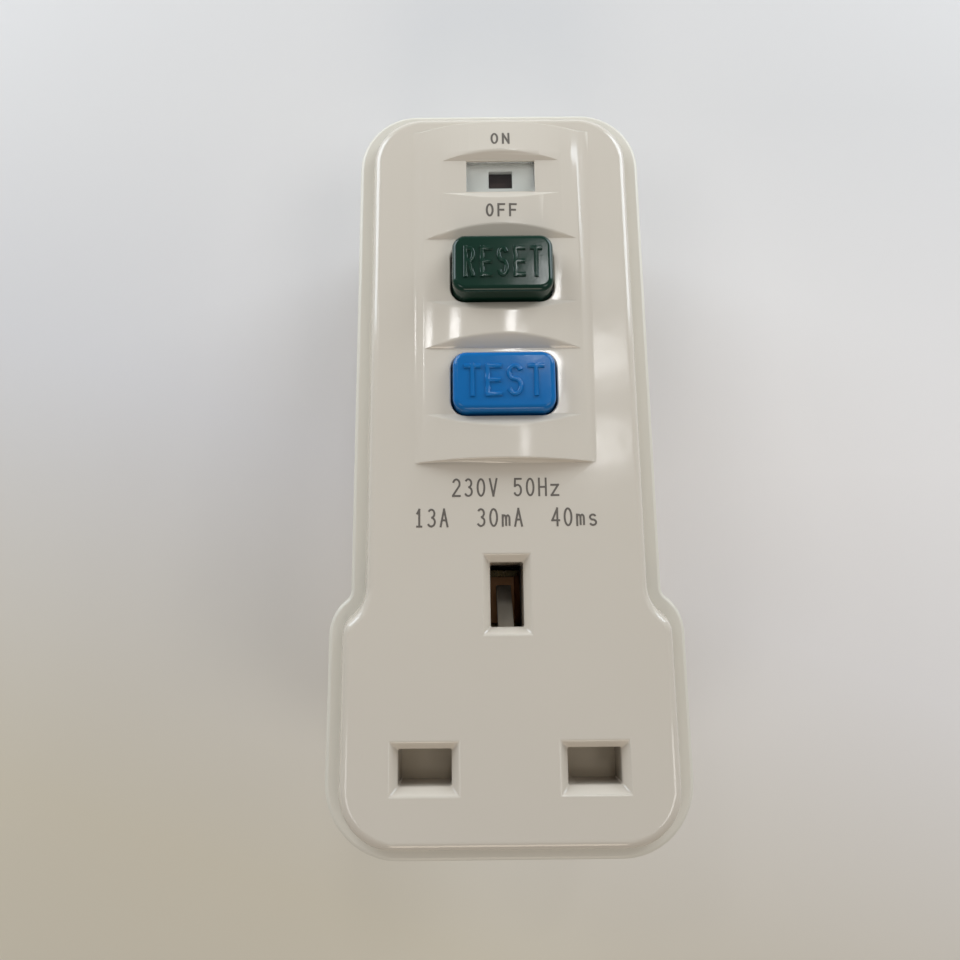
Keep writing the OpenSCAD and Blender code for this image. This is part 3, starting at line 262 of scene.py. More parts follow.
def noise(start, scale, detail=2.0, stretch=(1, 1, 1)):
    """Noise on Object coordinates, in cells per metre along each stretched axis"""
    at = start.node("ShaderNodeMapping", None, {"Vector": own_place(start), "Scale": stretch})
    return start.node("ShaderNodeTexNoise", None, {"Vector": at, "Scale": scale, "Detail": detail})


def ramped(start, value, low, high):
    """Share of the way from a low to a high value, from 0 to 1"""
    return start.node("ShaderNodeMapRange", {"clamp": True},
                      {"Value": value, "From Min": low, "From Max": high})


def bumped(start, strength, distance, height):
    return start.node("ShaderNodeBump", None, {"Strength": strength, "Distance": distance, "Height": height})


def moulded(name, rgb, rough, peel, cloud, shine=0.5):
    """Moulded plastic: slow changes of tone, an uneven sheen and the faint ripple of the mould"""
    material, start = new_material(name)
    tone = noise(start, 70).mixed(tint(rgb, 1 - cloud), tint(rgb, 1 + cloud))
    sheen = noise(start, 420, 3.0) * 0.08 + noise(start, 45, 1.0) * 0.05 + (rough - 0.065)
    ripple = noise(start, 260, 1.0) + noise(start, 2600, 1.0) * 0.12
    bump = bumped(start, peel, 0.2 * MM, ripple)
    return end_body(material, start, {"Base Color": tone, "Roughness": sheen, "Normal": bump,
                                      "Specular IOR Level": shine})


def metal(name, rgb, rough, grain, fine=900, stain=0.25):
    """Drawn or rolled metal: fine lines along the grain, stains and dull patches"""
    material, start = new_material(name)
    lines = noise(start, fine, 3.0, grain)
    patch = noise(start, 130, 3.0)
    tone = (patch * 0.7 + lines * 0.3).mixed(tint(rgb, 1 - stain), tint(rgb, 1.04))
    sheen = lines * 0.16 + patch * 0.14 + (rough - 0.15)
    bump = bumped(start, 0.12, 0.04 * MM, lines)
    return end_body(material, start, {"Base Color": tone, "Roughness": sheen, "Normal": bump, "Metallic": 1.0})


def wound(name, rgb, axis, pitch):
    """Enamelled wire wound in close turns along an axis"""
    material, start = new_material(name)
    turn = {"wave_type": "BANDS", "bands_direction": axis, "wave_profile": "SIN"}
    # A wave texture has one band in 0.314 of its scaled length
    ridges_and_groove_shade = start.node("ShaderNodeTexWave", turn, {"Vector": own_place(start), "Scale": 0.314 / pitch,
                                                    "Distortion": 0.4, "Detail": 1.0}, out="Fac")
    # The colour darkens in the grooves between turns: painted shade
    tone = ridges_and_groove_shade.mixed(tint(rgb, 0.35), tint(rgb, 1.05))
    sheen = noise(start, 500) * 0.2 + 0.2
    bump = bumped(start, 0.8, pitch * 0.4, ridges_and_groove_shade)
    return end_body(material, start, {"Base Color": tone, "Roughness": sheen, "Normal": bump, "Metallic": 0.8})


def clear_plastic(name):
    """Clear moulded lens that lets lamp light through to what lies behind it"""
    material, start = new_material(name)
    bump = bumped(start, 0.05, 0.2 * MM, noise(start, 320, 1.0))
    inputs = {"Base Color": (0.90, 0.91, 0.90, 1), "Roughness": noise(start, 300) * 0.06 + 0.02, "IOR": 1.49,
              "Transmission Weight": 1.0, "Normal": bump}
    body = start.node("ShaderNodeBsdfPrincipled", None, inputs)
    through = start.node("ShaderNodeBsdfTransparent", None, {"Color": (0.92, 0.93, 0.92, 1)})
    shadow = start.node("ShaderNodeLightPath", out="Is Shadow Ray")
    lens = start.node("ShaderNodeMixShader", None, {0: shadow, 1: body, 2: through})
    return end_material(material, start, lens)


def laminate(name):
    """Green circuit board with faint tracks"""
    material, start = new_material(name)
    tracks = start.node("ShaderNodeTexBrick", None,
                        {"Vector": own_place(start), "Scale": 160.0, "Mortar Size": 0.03,
                         "Color1": (0, 0, 0, 1), "Color2": (0, 0, 0, 1), "Mortar": (1, 1, 1, 1)}, out="Fac")
    tone = tracks.mixed((0.02, 0.11, 0.045, 1), (0.05, 0.20, 0.08, 1))
    sheen = noise(start, 700) * 0.2 + 0.25
    bump = bumped(start, 0.3, 0.05 * MM, tracks)
    return end_body(material, start, {"Base Color": tone, "Roughness": sheen, "Normal": bump})


def make_finishes(colours):
    """One finish for each material slot of the record, and those of the ink, the ramp and the contact
    carrier's painted shade
    """
    gloss, dull = 0.6, 0.3
    # Colour, roughness, depth of the ripple, change of tone and, where it isn't the usual half, the shine
    plastics = {
        "cover_white": (colours.cover, 0.11, 0.07, 0.012, gloss),
        "cover_rear": (colours.rear, 0.34, 0.07, 0.02, dull),
        "mask_grey": (colours.mask, 0.42, 0.1, 0.04, dull),
        "button_green": (colours.green, 0.12, 0.1, 0.1, dull),
        "button_blue": (colours.blue, 0.14, 0.1, 0.06, dull),
        "flag_black": (colours.flag, 0.45, 0.2, 0.15, dull),
        "flag_red": (colours.flag_on, 0.4, 0.2, 0.08),
        # Painted shade: the shutter darker than its own white, which the ramp keeps
        "shutter_white": (colours.shutter, 0.35, 0.15, 0.05),
        "ramp_white": (colours.ramp, 0.35, 0.15, 0.05),
        "carrier_tan": (colours.carrier, 0.5, 0.3, 0.08),
        # Painted shade: the contact carrier darkened to the shade deep in the slots
        "well_brown": (colours.well, 0.5, 0.3, 0.08),
        "carriage_grey": ((0.05, 0.055, 0.06), 0.5, 0.3, 0.1),
        "sleeve_black": ((0.016, 0.016, 0.018), 0.38, 0.25, 0.15),
        "lead_brown": ((0.10, 0.045, 0.022), 0.4, 0.3, 0.1),
        "lead_blue": ((0.02, 0.09, 0.34), 0.4, 0.3, 0.1),
        "chip_black": ((0.02, 0.02, 0.022), 0.5, 0.4, 0.2),
    }
    return {
        **{name: moulded(name, *given) for name, given in plastics.items()},
        "ink": moulded("ink_print", colours.ink, 0.5, 0.2, 0.12),
        "lens": clear_plastic("lens_clear"),
        "pin_brass": metal("pin_brass", colours.brass, 0.26, (1, 0.06, 1)),
        "contact_bronze": metal("contact_bronze", colours.bronze, 0.32, (1, 1, 0.08)),
        "steel": metal("steel_bright", colours.steel, 0.3, (1, 1, 1), 1400, 0.2),
        "spring_steel": metal("spring_steel", (0.66, 0.67, 0.69), 0.25, (1, 1, 1), 2200, 0.15),
        "copper": wound("copper_wire", colours.copper, "Z", 0.35 * MM),
        "core_grey": wound("core_strip", (0.20, 0.21, 0.22), "Z", 0.5 * MM),
        "board_green": laminate("board_laminate"),
    }


FINISHES = {}


# Meshes

def link_mesh(name, mesh):
    piece = bpy.data.objects.new(name, mesh)
    bpy.context.scene.collection.objects.link(piece)
    return piece


def drawn(name, points, edges=(), faces=()):
    """Piece from points and what joins them"""
    mesh = bpy.data.meshes.new(name)
    mesh.from_pydata(points, edges, faces)
    return link_mesh(name, mesh)


def plain(piece):
    """Turns what the modifiers make of a piece into its own mesh, with no modifier left"""
    graph = bpy.context.evaluated_depsgraph_get()
    made = bpy.data.meshes.new_from_object(piece.evaluated_get(graph), preserve_all_data_layers=True,
                                           depsgraph=graph)
    old = piece.data
    piece.modifiers.clear()
    piece.data = made
    made.name = piece.name
    bpy.data.meshes.remove(old)
    return piece


def hand_over(piece, node, finish):
    """Gives a piece its finish, and the body of the node that it goes with"""
    piece.data.materials.clear()
    piece.data.materials.append(FINISHES[finish])
    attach(piece, BODY_OF[node])


def merged_mesh(node, change=None, flat=math.radians(0.6)):
    """Copy of a node's mesh with its triangles joined and its flat faces made whole, then changed"""
    shape = bmesh.new()
    shape.from_mesh(frame["nodes"][node].data)
    bmesh.ops.remove_doubles(shape, verts=shape.verts, dist=WELD)
    bmesh.ops.dissolve_degenerate(shape, dist=WELD, edges=shape.edges)
    bmesh.ops.dissolve_limit(shape, angle_limit=flat, verts=shape.verts, edges=shape.edges)
    if change:
        change(shape)
    mesh = bpy.data.meshes.new(node)
    shape.to_mesh(mesh)
    shape.free()
    return mesh


def weigh_edges(mesh, crease, shown):
    """Marks the sharp edges that show, for rounding, and keeps the other sharp ones crisp"""
    shape = bmesh.new()
    shape.from_mesh(mesh)
    weight = shape.edges.layers.float.new("bevel_weight_edge")
    for edge in shape.edges:
        if edge.calc_face_angle(0) > crease:
            if shown((edge.verts[0].co + edge.verts[1].co) / 2):
                edge[weight] = 1
            else:
                edge.smooth = False
    shape.to_mesh(mesh)
    shape.free()


def rounded_copy(name, node, edge, segments=2, shown=lambda at: True, finish=None, change=None,
                 crease=math.radians(25)):
    """Copy of a node with the sharp edges that show rounded and its curves shaded smooth"""
    piece = link_mesh(name, merged_mesh(node, change))
    piece.data.shade_smooth()
    weigh_edges(piece.data, crease, shown)
    bevel = piece.modifiers.new("rounding", "BEVEL")
    bevel.limit_method = "WEIGHT"
    bevel.width = edge
    bevel.segments = segments
    bevel.use_clamp_overlap = False
    even = piece.modifiers.new("even_shading", "WEIGHTED_NORMAL")
    even.keep_sharp = True
    plain(piece)
    hand_over(piece, node, finish or SLOT_OF[node])
    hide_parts(node)
    return piece


def run_out(sizes, z):
    """Share of its height that the button panel keeps at a height on the case"""
    along = (z - sizes.panel_end + sizes.panel_run) / sizes.panel_run
    return 1 - sizes.panel_sink * min(max(along, 0), 1)


def ease_panel(shape, sizes, face, near=0.01 * MM):
    """Lets the button panel sink towards its upper end and its sides run out onto the face"""
    start = sizes.panel_end - sizes.panel_run
    raised = [f for f in shape.faces if all(v.co.y < face + near for v in f.verts)
              and any(v.co.y < face - near for v in f.verts)]
    parts = {part for f in raised for part in (f, *f.edges, *f.verts)}
    bmesh.ops.bisect_plane(shape, geom=list(parts), dist=WELD / 2, plane_co=(0, 0, start), plane_no=(0, 0, 1))
    half = max(abs(v.co.x) for v in shape.verts if v.co.y < face - near)
    for vert in shape.verts:
        if vert.co.y < face - near:
            vert.co.y = face + (vert.co.y - face) * run_out(sizes, vert.co.z)
        elif vert.co.y < face + near and half - 1 * MM < abs(vert.co.x) < half + 0.1 * MM:
            if vert.co.z > sizes.panel_z:
                vert.co.x += math.copysign(sizes.panel_ease, vert.co.x)


def widen_corner(shape, x, z, way, ease, skin):
    """Gives the outer skin a wider radius round a corner's centre, by an ease that depends on the depth"""
    for vert in shape.verts:
        side, rise = abs(vert.co.x) - x, (vert.co.z - z) * way
        reach = math.hypot(side, rise)
        if side > -WELD / 2 and rise > -WELD / 2 and reach > skin(vert.co.y):
            grow = ease(vert.co.y)
            vert.co.x -= math.copysign(grow * (1 - side / reach), vert.co.x)
            vert.co.z -= way * grow * (1 - rise / reach)


def carry_rim(shape, sizes, rim_end, low, high):
    """Carries the rear cover's rim forward and draws it in, so that the walls behind it lean"""
    draw = 1 - sizes.rim_draft / high.x
    middle = (low.z + high.z) / 2
    for vert in shape.verts:
        if vert.co.y < rim_end:
            vert.co.x *= draw
            vert.co.y -= sizes.rim_forward
            if vert.co.z > middle:
                vert.co.z -= sizes.rim_top_draft
            else:
                vert.co.z = SOCKET_Z + (vert.co.z - SOCKET_Z) * draw


def islands(node):
    """Centre and half size of each separate solid of a node"""
    shape = bmesh.new()
    shape.from_mesh(frame["nodes"][node].data)
    bmesh.ops.remove_doubles(shape, verts=shape.verts, dist=WELD)
    left = set(shape.verts)
    found = []
    while left:
        group, front = set(), [left.pop()]
        while front:
            vert = front.pop()
            group.add(vert)
            for edge in vert.link_edges:
                other = edge.other_vert(vert)
                if other in left:
                    left.remove(other)
                    front.append(other)
        low = Vector([min(v.co[i] for v in group) for i in range(3)])
        high = Vector([max(v.co[i] for v in group) for i in range(3)])
        found.append(((low + high) / 2, (high - low) / 2))
    shape.free()
    return sorted(found, key=lambda item: (item[0].z, item[0].x))


# Geometry Nodes

class Growth:
    """A geometry node tree with named inputs, all of them numbers but the finish"""

    def __init__(self, name, inputs):
        self.tree = bpy.data.node_groups.new(name, "GeometryNodeTree")
        new_socket = self.tree.interface.new_socket
        new_socket("Geometry", in_out="INPUT", socket_type="NodeSocketGeometry")
        self.keys = {}
        for key in inputs:
            self.keys[key] = new_socket(key, in_out="INPUT", socket_type="NodeSocketFloat").identifier
        self.keys["Finish"] = new_socket("Finish", in_out="INPUT", socket_type="NodeSocketMaterial").identifier
        new_socket("Geometry", in_out="OUTPUT", socket_type="NodeSocketGeometry")
        self.start = Wire(self.tree)
        self.given = self.tree.nodes.new("NodeGroupInput")

    def ask(self, key):
        return Wire(self.tree, self.given.outputs[key])

    def joined(self, *parts):
        whole = self.start.node("GeometryNodeJoinGeometry")
        for part in parts:
            self.tree.links.new(part.socket, whole.socket.node.inputs[0])
        return whole

    def fused(self, mesh):
        return self.start.node("GeometryNodeMeshBoolean", {"operation": "UNION", "solver": "EXACT"},
                               {"Mesh 2": mesh, "Self Intersection": True})

    def swept(self, line, section):
        return self.start.node("GeometryNodeCurveToMesh", None,
                               {"Curve": line, "Profile Curve": section, "Fill Caps": True})

    def helix(self, steps, turns, radius, height, sides, thick):
        """Wire wound about the height, from nought up or down"""
        line = self.start.node("GeometryNodeCurveSpiral", None,
                               {"Resolution": steps, "Rotations": turns, "Start Radius": radius,
                                "End Radius": radius, "Height": height})
        section = self.start.node("GeometryNodeCurvePrimitiveCircle", None,
                                  {"Resolution": sides, "Radius": thick})
        return self.swept(line, section)

    def close(self, geometry):
        """Ends the tree in plain geometry that has its finish"""
        real = self.start.node("GeometryNodeRealizeInstances", None, {"Geometry": geometry})
        done = self.start.node("GeometryNodeSetMaterial", None,
                               {"Geometry": real, "Material": self.ask("Finish")})
        self.start.node("NodeGroupOutput", None, {"Geometry": done})
        return self

    def run(self, piece, finish, **values):
        """Makes the piece's mesh from the tree and removes the modifier"""
        modifier = piece.modifiers.new("growth", "NODES")
        modifier.node_group = self.tree
        for key, value in values.items():
            modifier[self.keys[key]] = value
        modifier[self.keys["Finish"]] = finish
        return plain(piece)


def stroke_growth():
    """Raised strokes with rounded tops along drawn lines"""
    growth = Growth("raised_strokes", ("Width", "Rise", "Round"))
    node = growth.start.node
    line = node("GeometryNodeMeshToCurve", None, {"Mesh": growth.ask("Geometry")})
    line = node("GeometryNodeSetCurveNormal", {"mode": "Z_UP"}, {"Curve": line})
    section = node("GeometryNodeCurvePrimitiveQuadrilateral", None,
                   {"Width": growth.ask("Width"), "Height": growth.ask("Rise") * 2.0})
    section = node("GeometryNodeFilletCurve", {"mode": "POLY"},
                   {"Curve": section, "Count": 3, "Radius": growth.ask("Round"), "Limit Radius": True})
    return growth.close(growth.fused(growth.swept(line, section)))


def coil_growth():
    """Spring wire wound about the height"""
    growth = Growth("coil_spring", ("Coils", "Radius", "Length", "Wire"))
    coil = growth.helix(40, growth.ask("Coils"), growth.ask("Radius"), growth.ask("Length"), 10,
                        growth.ask("Wire"))
    return growth.close(growth.start.node("GeometryNodeSetShadeSmooth", None, {"Geometry": coil}))


def screw_growth():
    """Pan head screws with a cross recess and a thread, one at each point, their heads towards +Y"""
    growth = Growth("case_screws", ("Head", "Head height", "Shank", "Reach", "Thread turns", "Ridge",
                                    "Recess"))
    node = growth.start.node
    high, wide, reach = growth.ask("Head height"), growth.ask("Head"), growth.ask("Reach")
    # Shares of the head's height: its straight side, its dome and the depth of the cross
    side, dome, deep = 0.55, 0.45, 0.55
    # Width of the dome's flat top, as a share of the head's, and width of the cross, as a share of its length
    flat, arm = 0.8, 0.24

    def lifted(geometry, z):
        at = node("ShaderNodeCombineXYZ", None, {"Z": z})
        return node("GeometryNodeTransform", None, {"Geometry": geometry, "Translation": at})

    def bar(x, y):
        size = node("ShaderNodeCombineXYZ", None, {"X": x, "Y": y, "Z": high * deep * 2.0})
        return lifted(node("GeometryNodeMeshCube", None, {"Size": size}), high)

    lower = node("GeometryNodeMeshCylinder", None, {"Vertices": 40, "Radius": wide, "Depth": high * side})
    upper = node("GeometryNodeMeshCone", None,
                 {"Vertices": 40, "Side Segments": 3, "Radius Top": wide * flat, "Radius Bottom": wide,
                  "Depth": high * dome})
    head = growth.joined(lifted(lower, high * (side / 2)), lifted(upper, high * side))
    recess = growth.ask("Recess")
    cross = growth.joined(bar(recess, recess * arm), bar(recess * arm, recess))
    cut = node("GeometryNodeMeshBoolean", {"operation": "DIFFERENCE", "solver": "EXACT"},
               {"Mesh 1": growth.fused(head), "Mesh 2": cross, "Self Intersection": True})
    shank = growth.ask("Shank")
    core = node("GeometryNodeMeshCylinder", None, {"Vertices": 32, "Radius": shank, "Depth": reach})
    thread = growth.helix(28, growth.ask("Thread turns"), shank, reach * -THREADED, 4, growth.ask("Ridge"))
    screw = growth.joined(cut, lifted(core, reach * -0.5), thread)
    turned = node("GeometryNodeTransform", None, {"Geometry": screw, "Rotation": (-math.pi / 2, 0, 0)})
    return growth.close(node("GeometryNodeInstanceOnPoints", None,
                             {"Points": growth.ask("Geometry"), "Instance": turned}))


# Letters

def bow(cx, cy, rx, ry, start, end, steps=9):
    """Points of an arc in a letter's cell, with angles in degrees"""
    turns = [math.radians(start + (end - start) * i / steps) for i in range(steps + 1)]
    return [(cx + rx * math.cos(t), cy + ry * math.sin(t)) for t in turns]


# Middle lines of the strokes in a cell of 1 by 1, the straight ones meant to run on by half a stroke
STRAIGHT = {
    "T": [((0, 1), (1, 1)), ((0.5, 0), (0.5, 1))],
    "E": [((0, 0), (0, 1)), ((0, 1), (1, 1)), ((0, 0.5), (0.9, 0.5)), ((0, 0), (1, 0))],
    "F": [((0, 0), (0, 1)), ((0, 1), (1, 1)), ((0, 0.5), (0.85, 0.5))],
    "N": [((0, 0), (0, 1)), ((1, 0), (1, 1))],
    "R": [((0, 0), (0, 1))],
    "A": [((0, 0), (0.5, 1)), ((0.5, 1), (1, 0)), ((0.2, 0.36), (0.8, 0.36))],
    "H": [((0, 0), (0, 1)), ((1, 0), (1, 1)), ((0, 0.5), (1, 0.5))],
    "V": [((0, 1), (0.5, 0)), ((0.5, 0), (1, 1))],
    "m": [((0, 0), (0, 0.62))],
    "z": [((0, 0.62), (1, 0.62)), ((0, 0), (1, 0.62)), ((0, 0), (1, 0))],
    "1": [((0.5, 0), (0.5, 1)), ((0.2, 0.78), (0.5, 1)), ((0.2, 0), (0.8, 0))],
    "2": [((0, 0), (1, 0))],
    "4": [((0.75, 0), (0.75, 1)), ((0, 0.3), (0.75, 1)), ((0, 0.3), (1, 0.3))],
    "5": [((0.1, 1), (0.95, 1)), ((0.1, 1), (0.05, 0.56))],
}
DRAWN = {
    "N": [[(0, 1), (1, 0)]],
    "O": [bow(0.5, 0.5, 0.5, 0.5, 0, 360, 32)],
    "R": [[(0, 1)] + bow(0.55, 0.76, 0.45, 0.24, 90, -90, 12) + [(0, 0.52)], [(0.45, 0.52), (1, -0.06)]],
    "S": [bow(0.5, 0.765, 0.5, 0.235, 20, 270, 16) + bow(0.5, 0.265, 0.5, 0.265, 90, -160, 16)[1:]],
    "m": [[(0, 0.42)] + bow(0.25, 0.42, 0.25, 0.2, 180, 0) + [(0.5, 0)],
          [(0.5, 0.42)] + bow(0.75, 0.42, 0.25, 0.2, 180, 0) + [(1, 0)]],
    "s": [bow(0.5, 0.47, 0.42, 0.15, 20, 270, 12) + bow(0.5, 0.16, 0.45, 0.16, 90, -160, 12)[1:]],
    "0": [bow(0.5, 0.5, 0.5, 0.5, 0, 360, 32)],
    "2": [bow(0.5, 0.72, 0.48, 0.28, 165, -25, 14) + [(0, 0.03)]],
    "3": [bow(0.45, 0.76, 0.45, 0.24, 150, -90, 14), bow(0.45, 0.26, 0.52, 0.26, 90, -155, 16)],
    "5": [bow(0.45, 0.32, 0.52, 0.32, 135, -155, 18)],
}


def word_lines(word, high, wide, gap, stroke):
    """Edges of a word's middle lines about its middle, as points and pairs"""
    points, edges = [], []
    step = wide + gap
    left = -(len(word) * wide + (len(word) - 1) * gap) / 2

    def lay(line, x):
        cell = (wide - stroke, high - stroke)
        run = [Vector((x + stroke / 2 + u * cell[0], v * cell[1] - cell[1] / 2, 0)) for u, v in line]
        closed = (run[0] - run[-1]).length < 1e-9
        if closed:
            run.pop()
        base = len(points)
        points.extend(run)
        edges.extend((base + i, base + i + 1) for i in range(len(run) - 1))
        if closed:
            edges.append((base + len(run) - 1, base))

    for i, letter in enumerate(word):
        x = left + i * step
        for start, end in STRAIGHT.get(letter, []):
            lay([start, end], x)
            along = (points[-1] - points[-2]).normalized() * stroke / 2
            points[-2] = points[-2] - along
            points[-1] = points[-1] + along
        for line in DRAWN.get(letter, []):
            lay(line, x)
    return points, edges


def word_piece(name, word, growth, finish, high, wide, gap, stroke, rise, soft):
    """Raised word about the origin, drawn upright on the front"""
    points, edges = word_lines(word, high, wide, gap, stroke)
    piece = growth.run(drawn(name, points, edges), FINISHES[finish], Width=stroke, Rise=rise, Round=soft)
    piece.data.transform(UPRIGHT)
    return piece


# Operators

class CoverOperator(bpy.types.Operator):
    """Rounds the covers' edges and corners, eases the panel and carries the rim forward"""
    bl_idname = "adapter.covers"
    bl_label = "Covers"

    # Of the solids: the front cover's depth and the lean of its sides, the rim's width and its rounded front
    depth, lean, rim_w, rim_front = 9.5 * MM, math.radians(15), 1.6 * MM, 1 * MM
    # Depth of the face's rounded edge, and how far within the skin a vertex there, deeper and on the rim lies
    edge_depth, edge_skin, side_skin, rim_skin = 1.25 * MM, 1.3 * MM, 0.3 * MM, 1.4 * MM
    # Depths at which the face's wider corners have run out and at which edges no longer show
    ease_depth, shown_depth = 5 * MM, 6 * MM
    # Width of the strip round the window, in widths of the lens, and size of the front cover's hidden foot
    strip, tuck = 1.6, 0.98

    def execute(self, context):
        sizes = self.sizes = context.scene.adapter_sizes
        self.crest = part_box("front_cover")[0].y
        self.face = self.crest + sizes.panel_h
        self.joint = self.face + self.depth
        self.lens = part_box("window_lens")
        low, high = self.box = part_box("rear_cover")
        self.upper = (sizes.upper_w / 2 - sizes.corner_r, high.z - sizes.corner_r, 1)
        self.lower = (high.x - sizes.corner_r, low.z + sizes.corner_r, -1)
        rim = self.joint - sizes.rim_forward
        rounded_copy("front_cover_shell", "front_cover", sizes.cover_edge, 3, self.shown,
                     change=self.change_front)
        rounded_copy("rear_cover_shell", "rear_cover", sizes.cover_edge, 3,
                     lambda at: abs(at.y - rim) < 0.15 * MM, change=self.change_rear)
        return {"FINISHED"}

    def shown(self, at):
        """Edges on the front, but neither the strip round the window nor the foot of the panel"""
        low, high = self.lens
        strip = low.z < at.z < high.z and low.x * self.strip < at.x < high.x * self.strip
        foot = at.z > self.sizes.panel_z and at.y > self.face - 0.1 * MM
        return at.y < self.crest + self.shown_depth and not strip and not foot

    def front_skin(self, y):
        """Radius past which a vertex of a corner belongs to the front cover's outer skin"""
        deep = y - self.face
        inset = self.rim_w + math.tan(self.lean) * (self.depth - deep)
        return self.sizes.corner_r - inset - (self.edge_skin if deep < self.edge_depth else self.side_skin)

    def change_front(self, shape):
        """Eases the panel, widens the corners and tucks the hidden foot behind the rim"""
        sizes, face = self.sizes, self.face
        ease_panel(shape, sizes, face)

        def ease(y):
            return sizes.corner_ease * max(0, 1 - (y - face) / self.ease_depth)

        for corner in (self.upper, self.lower):
            widen_corner(shape, *corner, ease, self.front_skin)
        middle = (self.box[0].z + self.box[1].z) / 2
        shape.normal_update()
        for vert in shape.verts:
            outward = vert.normal.x * vert.co.x + vert.normal.z * (vert.co.z - middle) > 0
            if abs(vert.co.y - self.joint) < 0.2 * MM and outward:
                vert.co.x *= self.tuck
                vert.co.z = middle + (vert.co.z - middle) * self.tuck

    def change_rear(self, shape):
        """Widens the rim's corners and carries it forward"""
        sizes, rim_end = self.sizes, self.joint + self.rim_front
        for corner, ease in ((self.upper, sizes.rim_upper_ease), (self.lower, sizes.rim_lower_ease)):
            widen_corner(shape, *corner, lambda y: ease if y < rim_end else 0,
                         lambda y: sizes.corner_r - self.rim_skin)
        carry_rim(shape, sizes, rim_end, *self.box)


class ButtonOperator(bpy.types.Operator):
    """Makes both buttons and the raised words on them"""
    bl_idname = "adapter.buttons"
    bl_label = "Buttons"
    # Share of a raised letter's height over which its edge is round
    soft = 0.8

    def execute(self, context):
        sizes = context.scene.adapter_sizes
        growth = stroke_growth()
        for node, word in (("reset_button", "RESET"), ("test_button", "TEST")):
            body = BODY_OF[node]
            rounded_copy(body + "_cap", node, sizes.button_edge)
            low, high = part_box(node)
            wide = (sizes.word_w + sizes.letter_gap) / len(word) - sizes.letter_gap
            piece = word_piece(body + "_word", word, growth, SLOT_OF[node], sizes.word_h, wide,
                               sizes.letter_gap, sizes.word_stroke, sizes.word_rise,
                               sizes.word_rise * self.soft)
            piece.data.transform(Matrix.Translation(((low.x + high.x) / 2, low.y, (low.z + high.z) / 2)))
            hand_over(piece, node, SLOT_OF[node])
        return {"FINISHED"}


class MarkOperator(bpy.types.Operator):
    """Prints the marks at the window, on the curved panel, and the ratings on the flat face"""
    bl_idname = "adapter.marks"
    bl_label = "Printed marks"
    # Share of the ink's thickness over which its edge is round
    soft = 0.3

    def execute(self, context):
        sizes = context.scene.adapter_sizes
        growth = stroke_growth()
        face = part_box("front_cover")[0].y + sizes.panel_h
        for word, z in (("ON", sizes.mark_on_z), ("OFF", sizes.mark_off_z)):
            piece = word_piece("mark_" + word.lower(), word, growth, "ink", sizes.mark_h, sizes.mark_w,
                               sizes.mark_gap, sizes.mark_stroke, sizes.mark_rise, sizes.mark_rise * self.soft)
            for vert in piece.data.vertices:
                fall = sizes.panel_r - math.sqrt(sizes.panel_r ** 2 - vert.co.x ** 2)
                high = (sizes.panel_h - fall) * run_out(sizes, vert.co.z + z)
                vert.co += Vector((0, face - high, z))
            hand_over(piece, "front_cover", "ink")
        for line, words in enumerate(("230V 50Hz", "13A  30mA  40ms")):
            piece = word_piece(f"rating_{line}", words, growth, "ink", sizes.rating_h, sizes.rating_w,
                               sizes.rating_gap, sizes.rating_stroke, sizes.mark_rise,
                               sizes.mark_rise * self.soft)
            at = Vector((0, face, sizes.rating_z - line * sizes.rating_step))
            piece.data.transform(Matrix.Translation(at))
            hand_over(piece, "front_cover", "ink")
        return {"FINISHED"}


class WindowOperator(bpy.types.Operator):
    """Makes the lens, the mask and the flag behind it"""
    bl_idname = "adapter.window"
    bl_label = "Flag window"

    def execute(self, context):
        edge = context.scene.adapter_sizes.trim_edge
        for node in ("window_lens", "window_mask", "flag_lever", "flag_red_tile"):
            rounded_copy(node + "_part", node, edge)
        return {"FINISHED"}


class SocketOperator(bpy.types.Operator):
    """Makes what shows through the slots: shutter, carrier and contact clips"""
    bl_idname = "adapter.socket"
    bl_label = "Socket inside"
    # Height over which the shutter is its paler ramp in its own white; below it the shutter's darker tone is
    # painted shade in the slots
    ramp_foot = 10 * MM

    def execute(self, context):
        edge = context.scene.adapter_sizes.trim_edge
        # The contact carrier takes a near-black brown in place of its tan: painted shade deep in the slots
        rounded_copy("contact_carrier_part", "contact_carrier", edge, finish="well_brown")
        for node in ("live_clip", "neutral_clip", "earth_clip"):
            rounded_copy(node + "_part", node, edge)
        shutter = rounded_copy("shutter_part", "shutter", edge)
        # The shutter is split by height into its own white and a darker copy that is painted shade
        shutter.data.materials.append(FINISHES["ramp_white"])
        for face in shutter.data.polygons:
            face.material_index = int(face.center.z > self.ramp_foot)
        return {"FINISHED"}


class PinOperator(bpy.types.Operator):
    """Makes the three plug pins and their sleeves"""
    bl_idname = "adapter.pins"
    bl_label = "Plug pins"

    def execute(self, context):
        sizes = context.scene.adapter_sizes
        for node in ("live_pin", "neutral_pin", "earth_pin"):
            rounded_copy(node + "_part", node, sizes.pin_edge, 3)
        for node in ("live_sleeve", "neutral_sleeve"):
            rounded_copy(node + "_part", node, sizes.trim_edge)
        return {"FINISHED"}


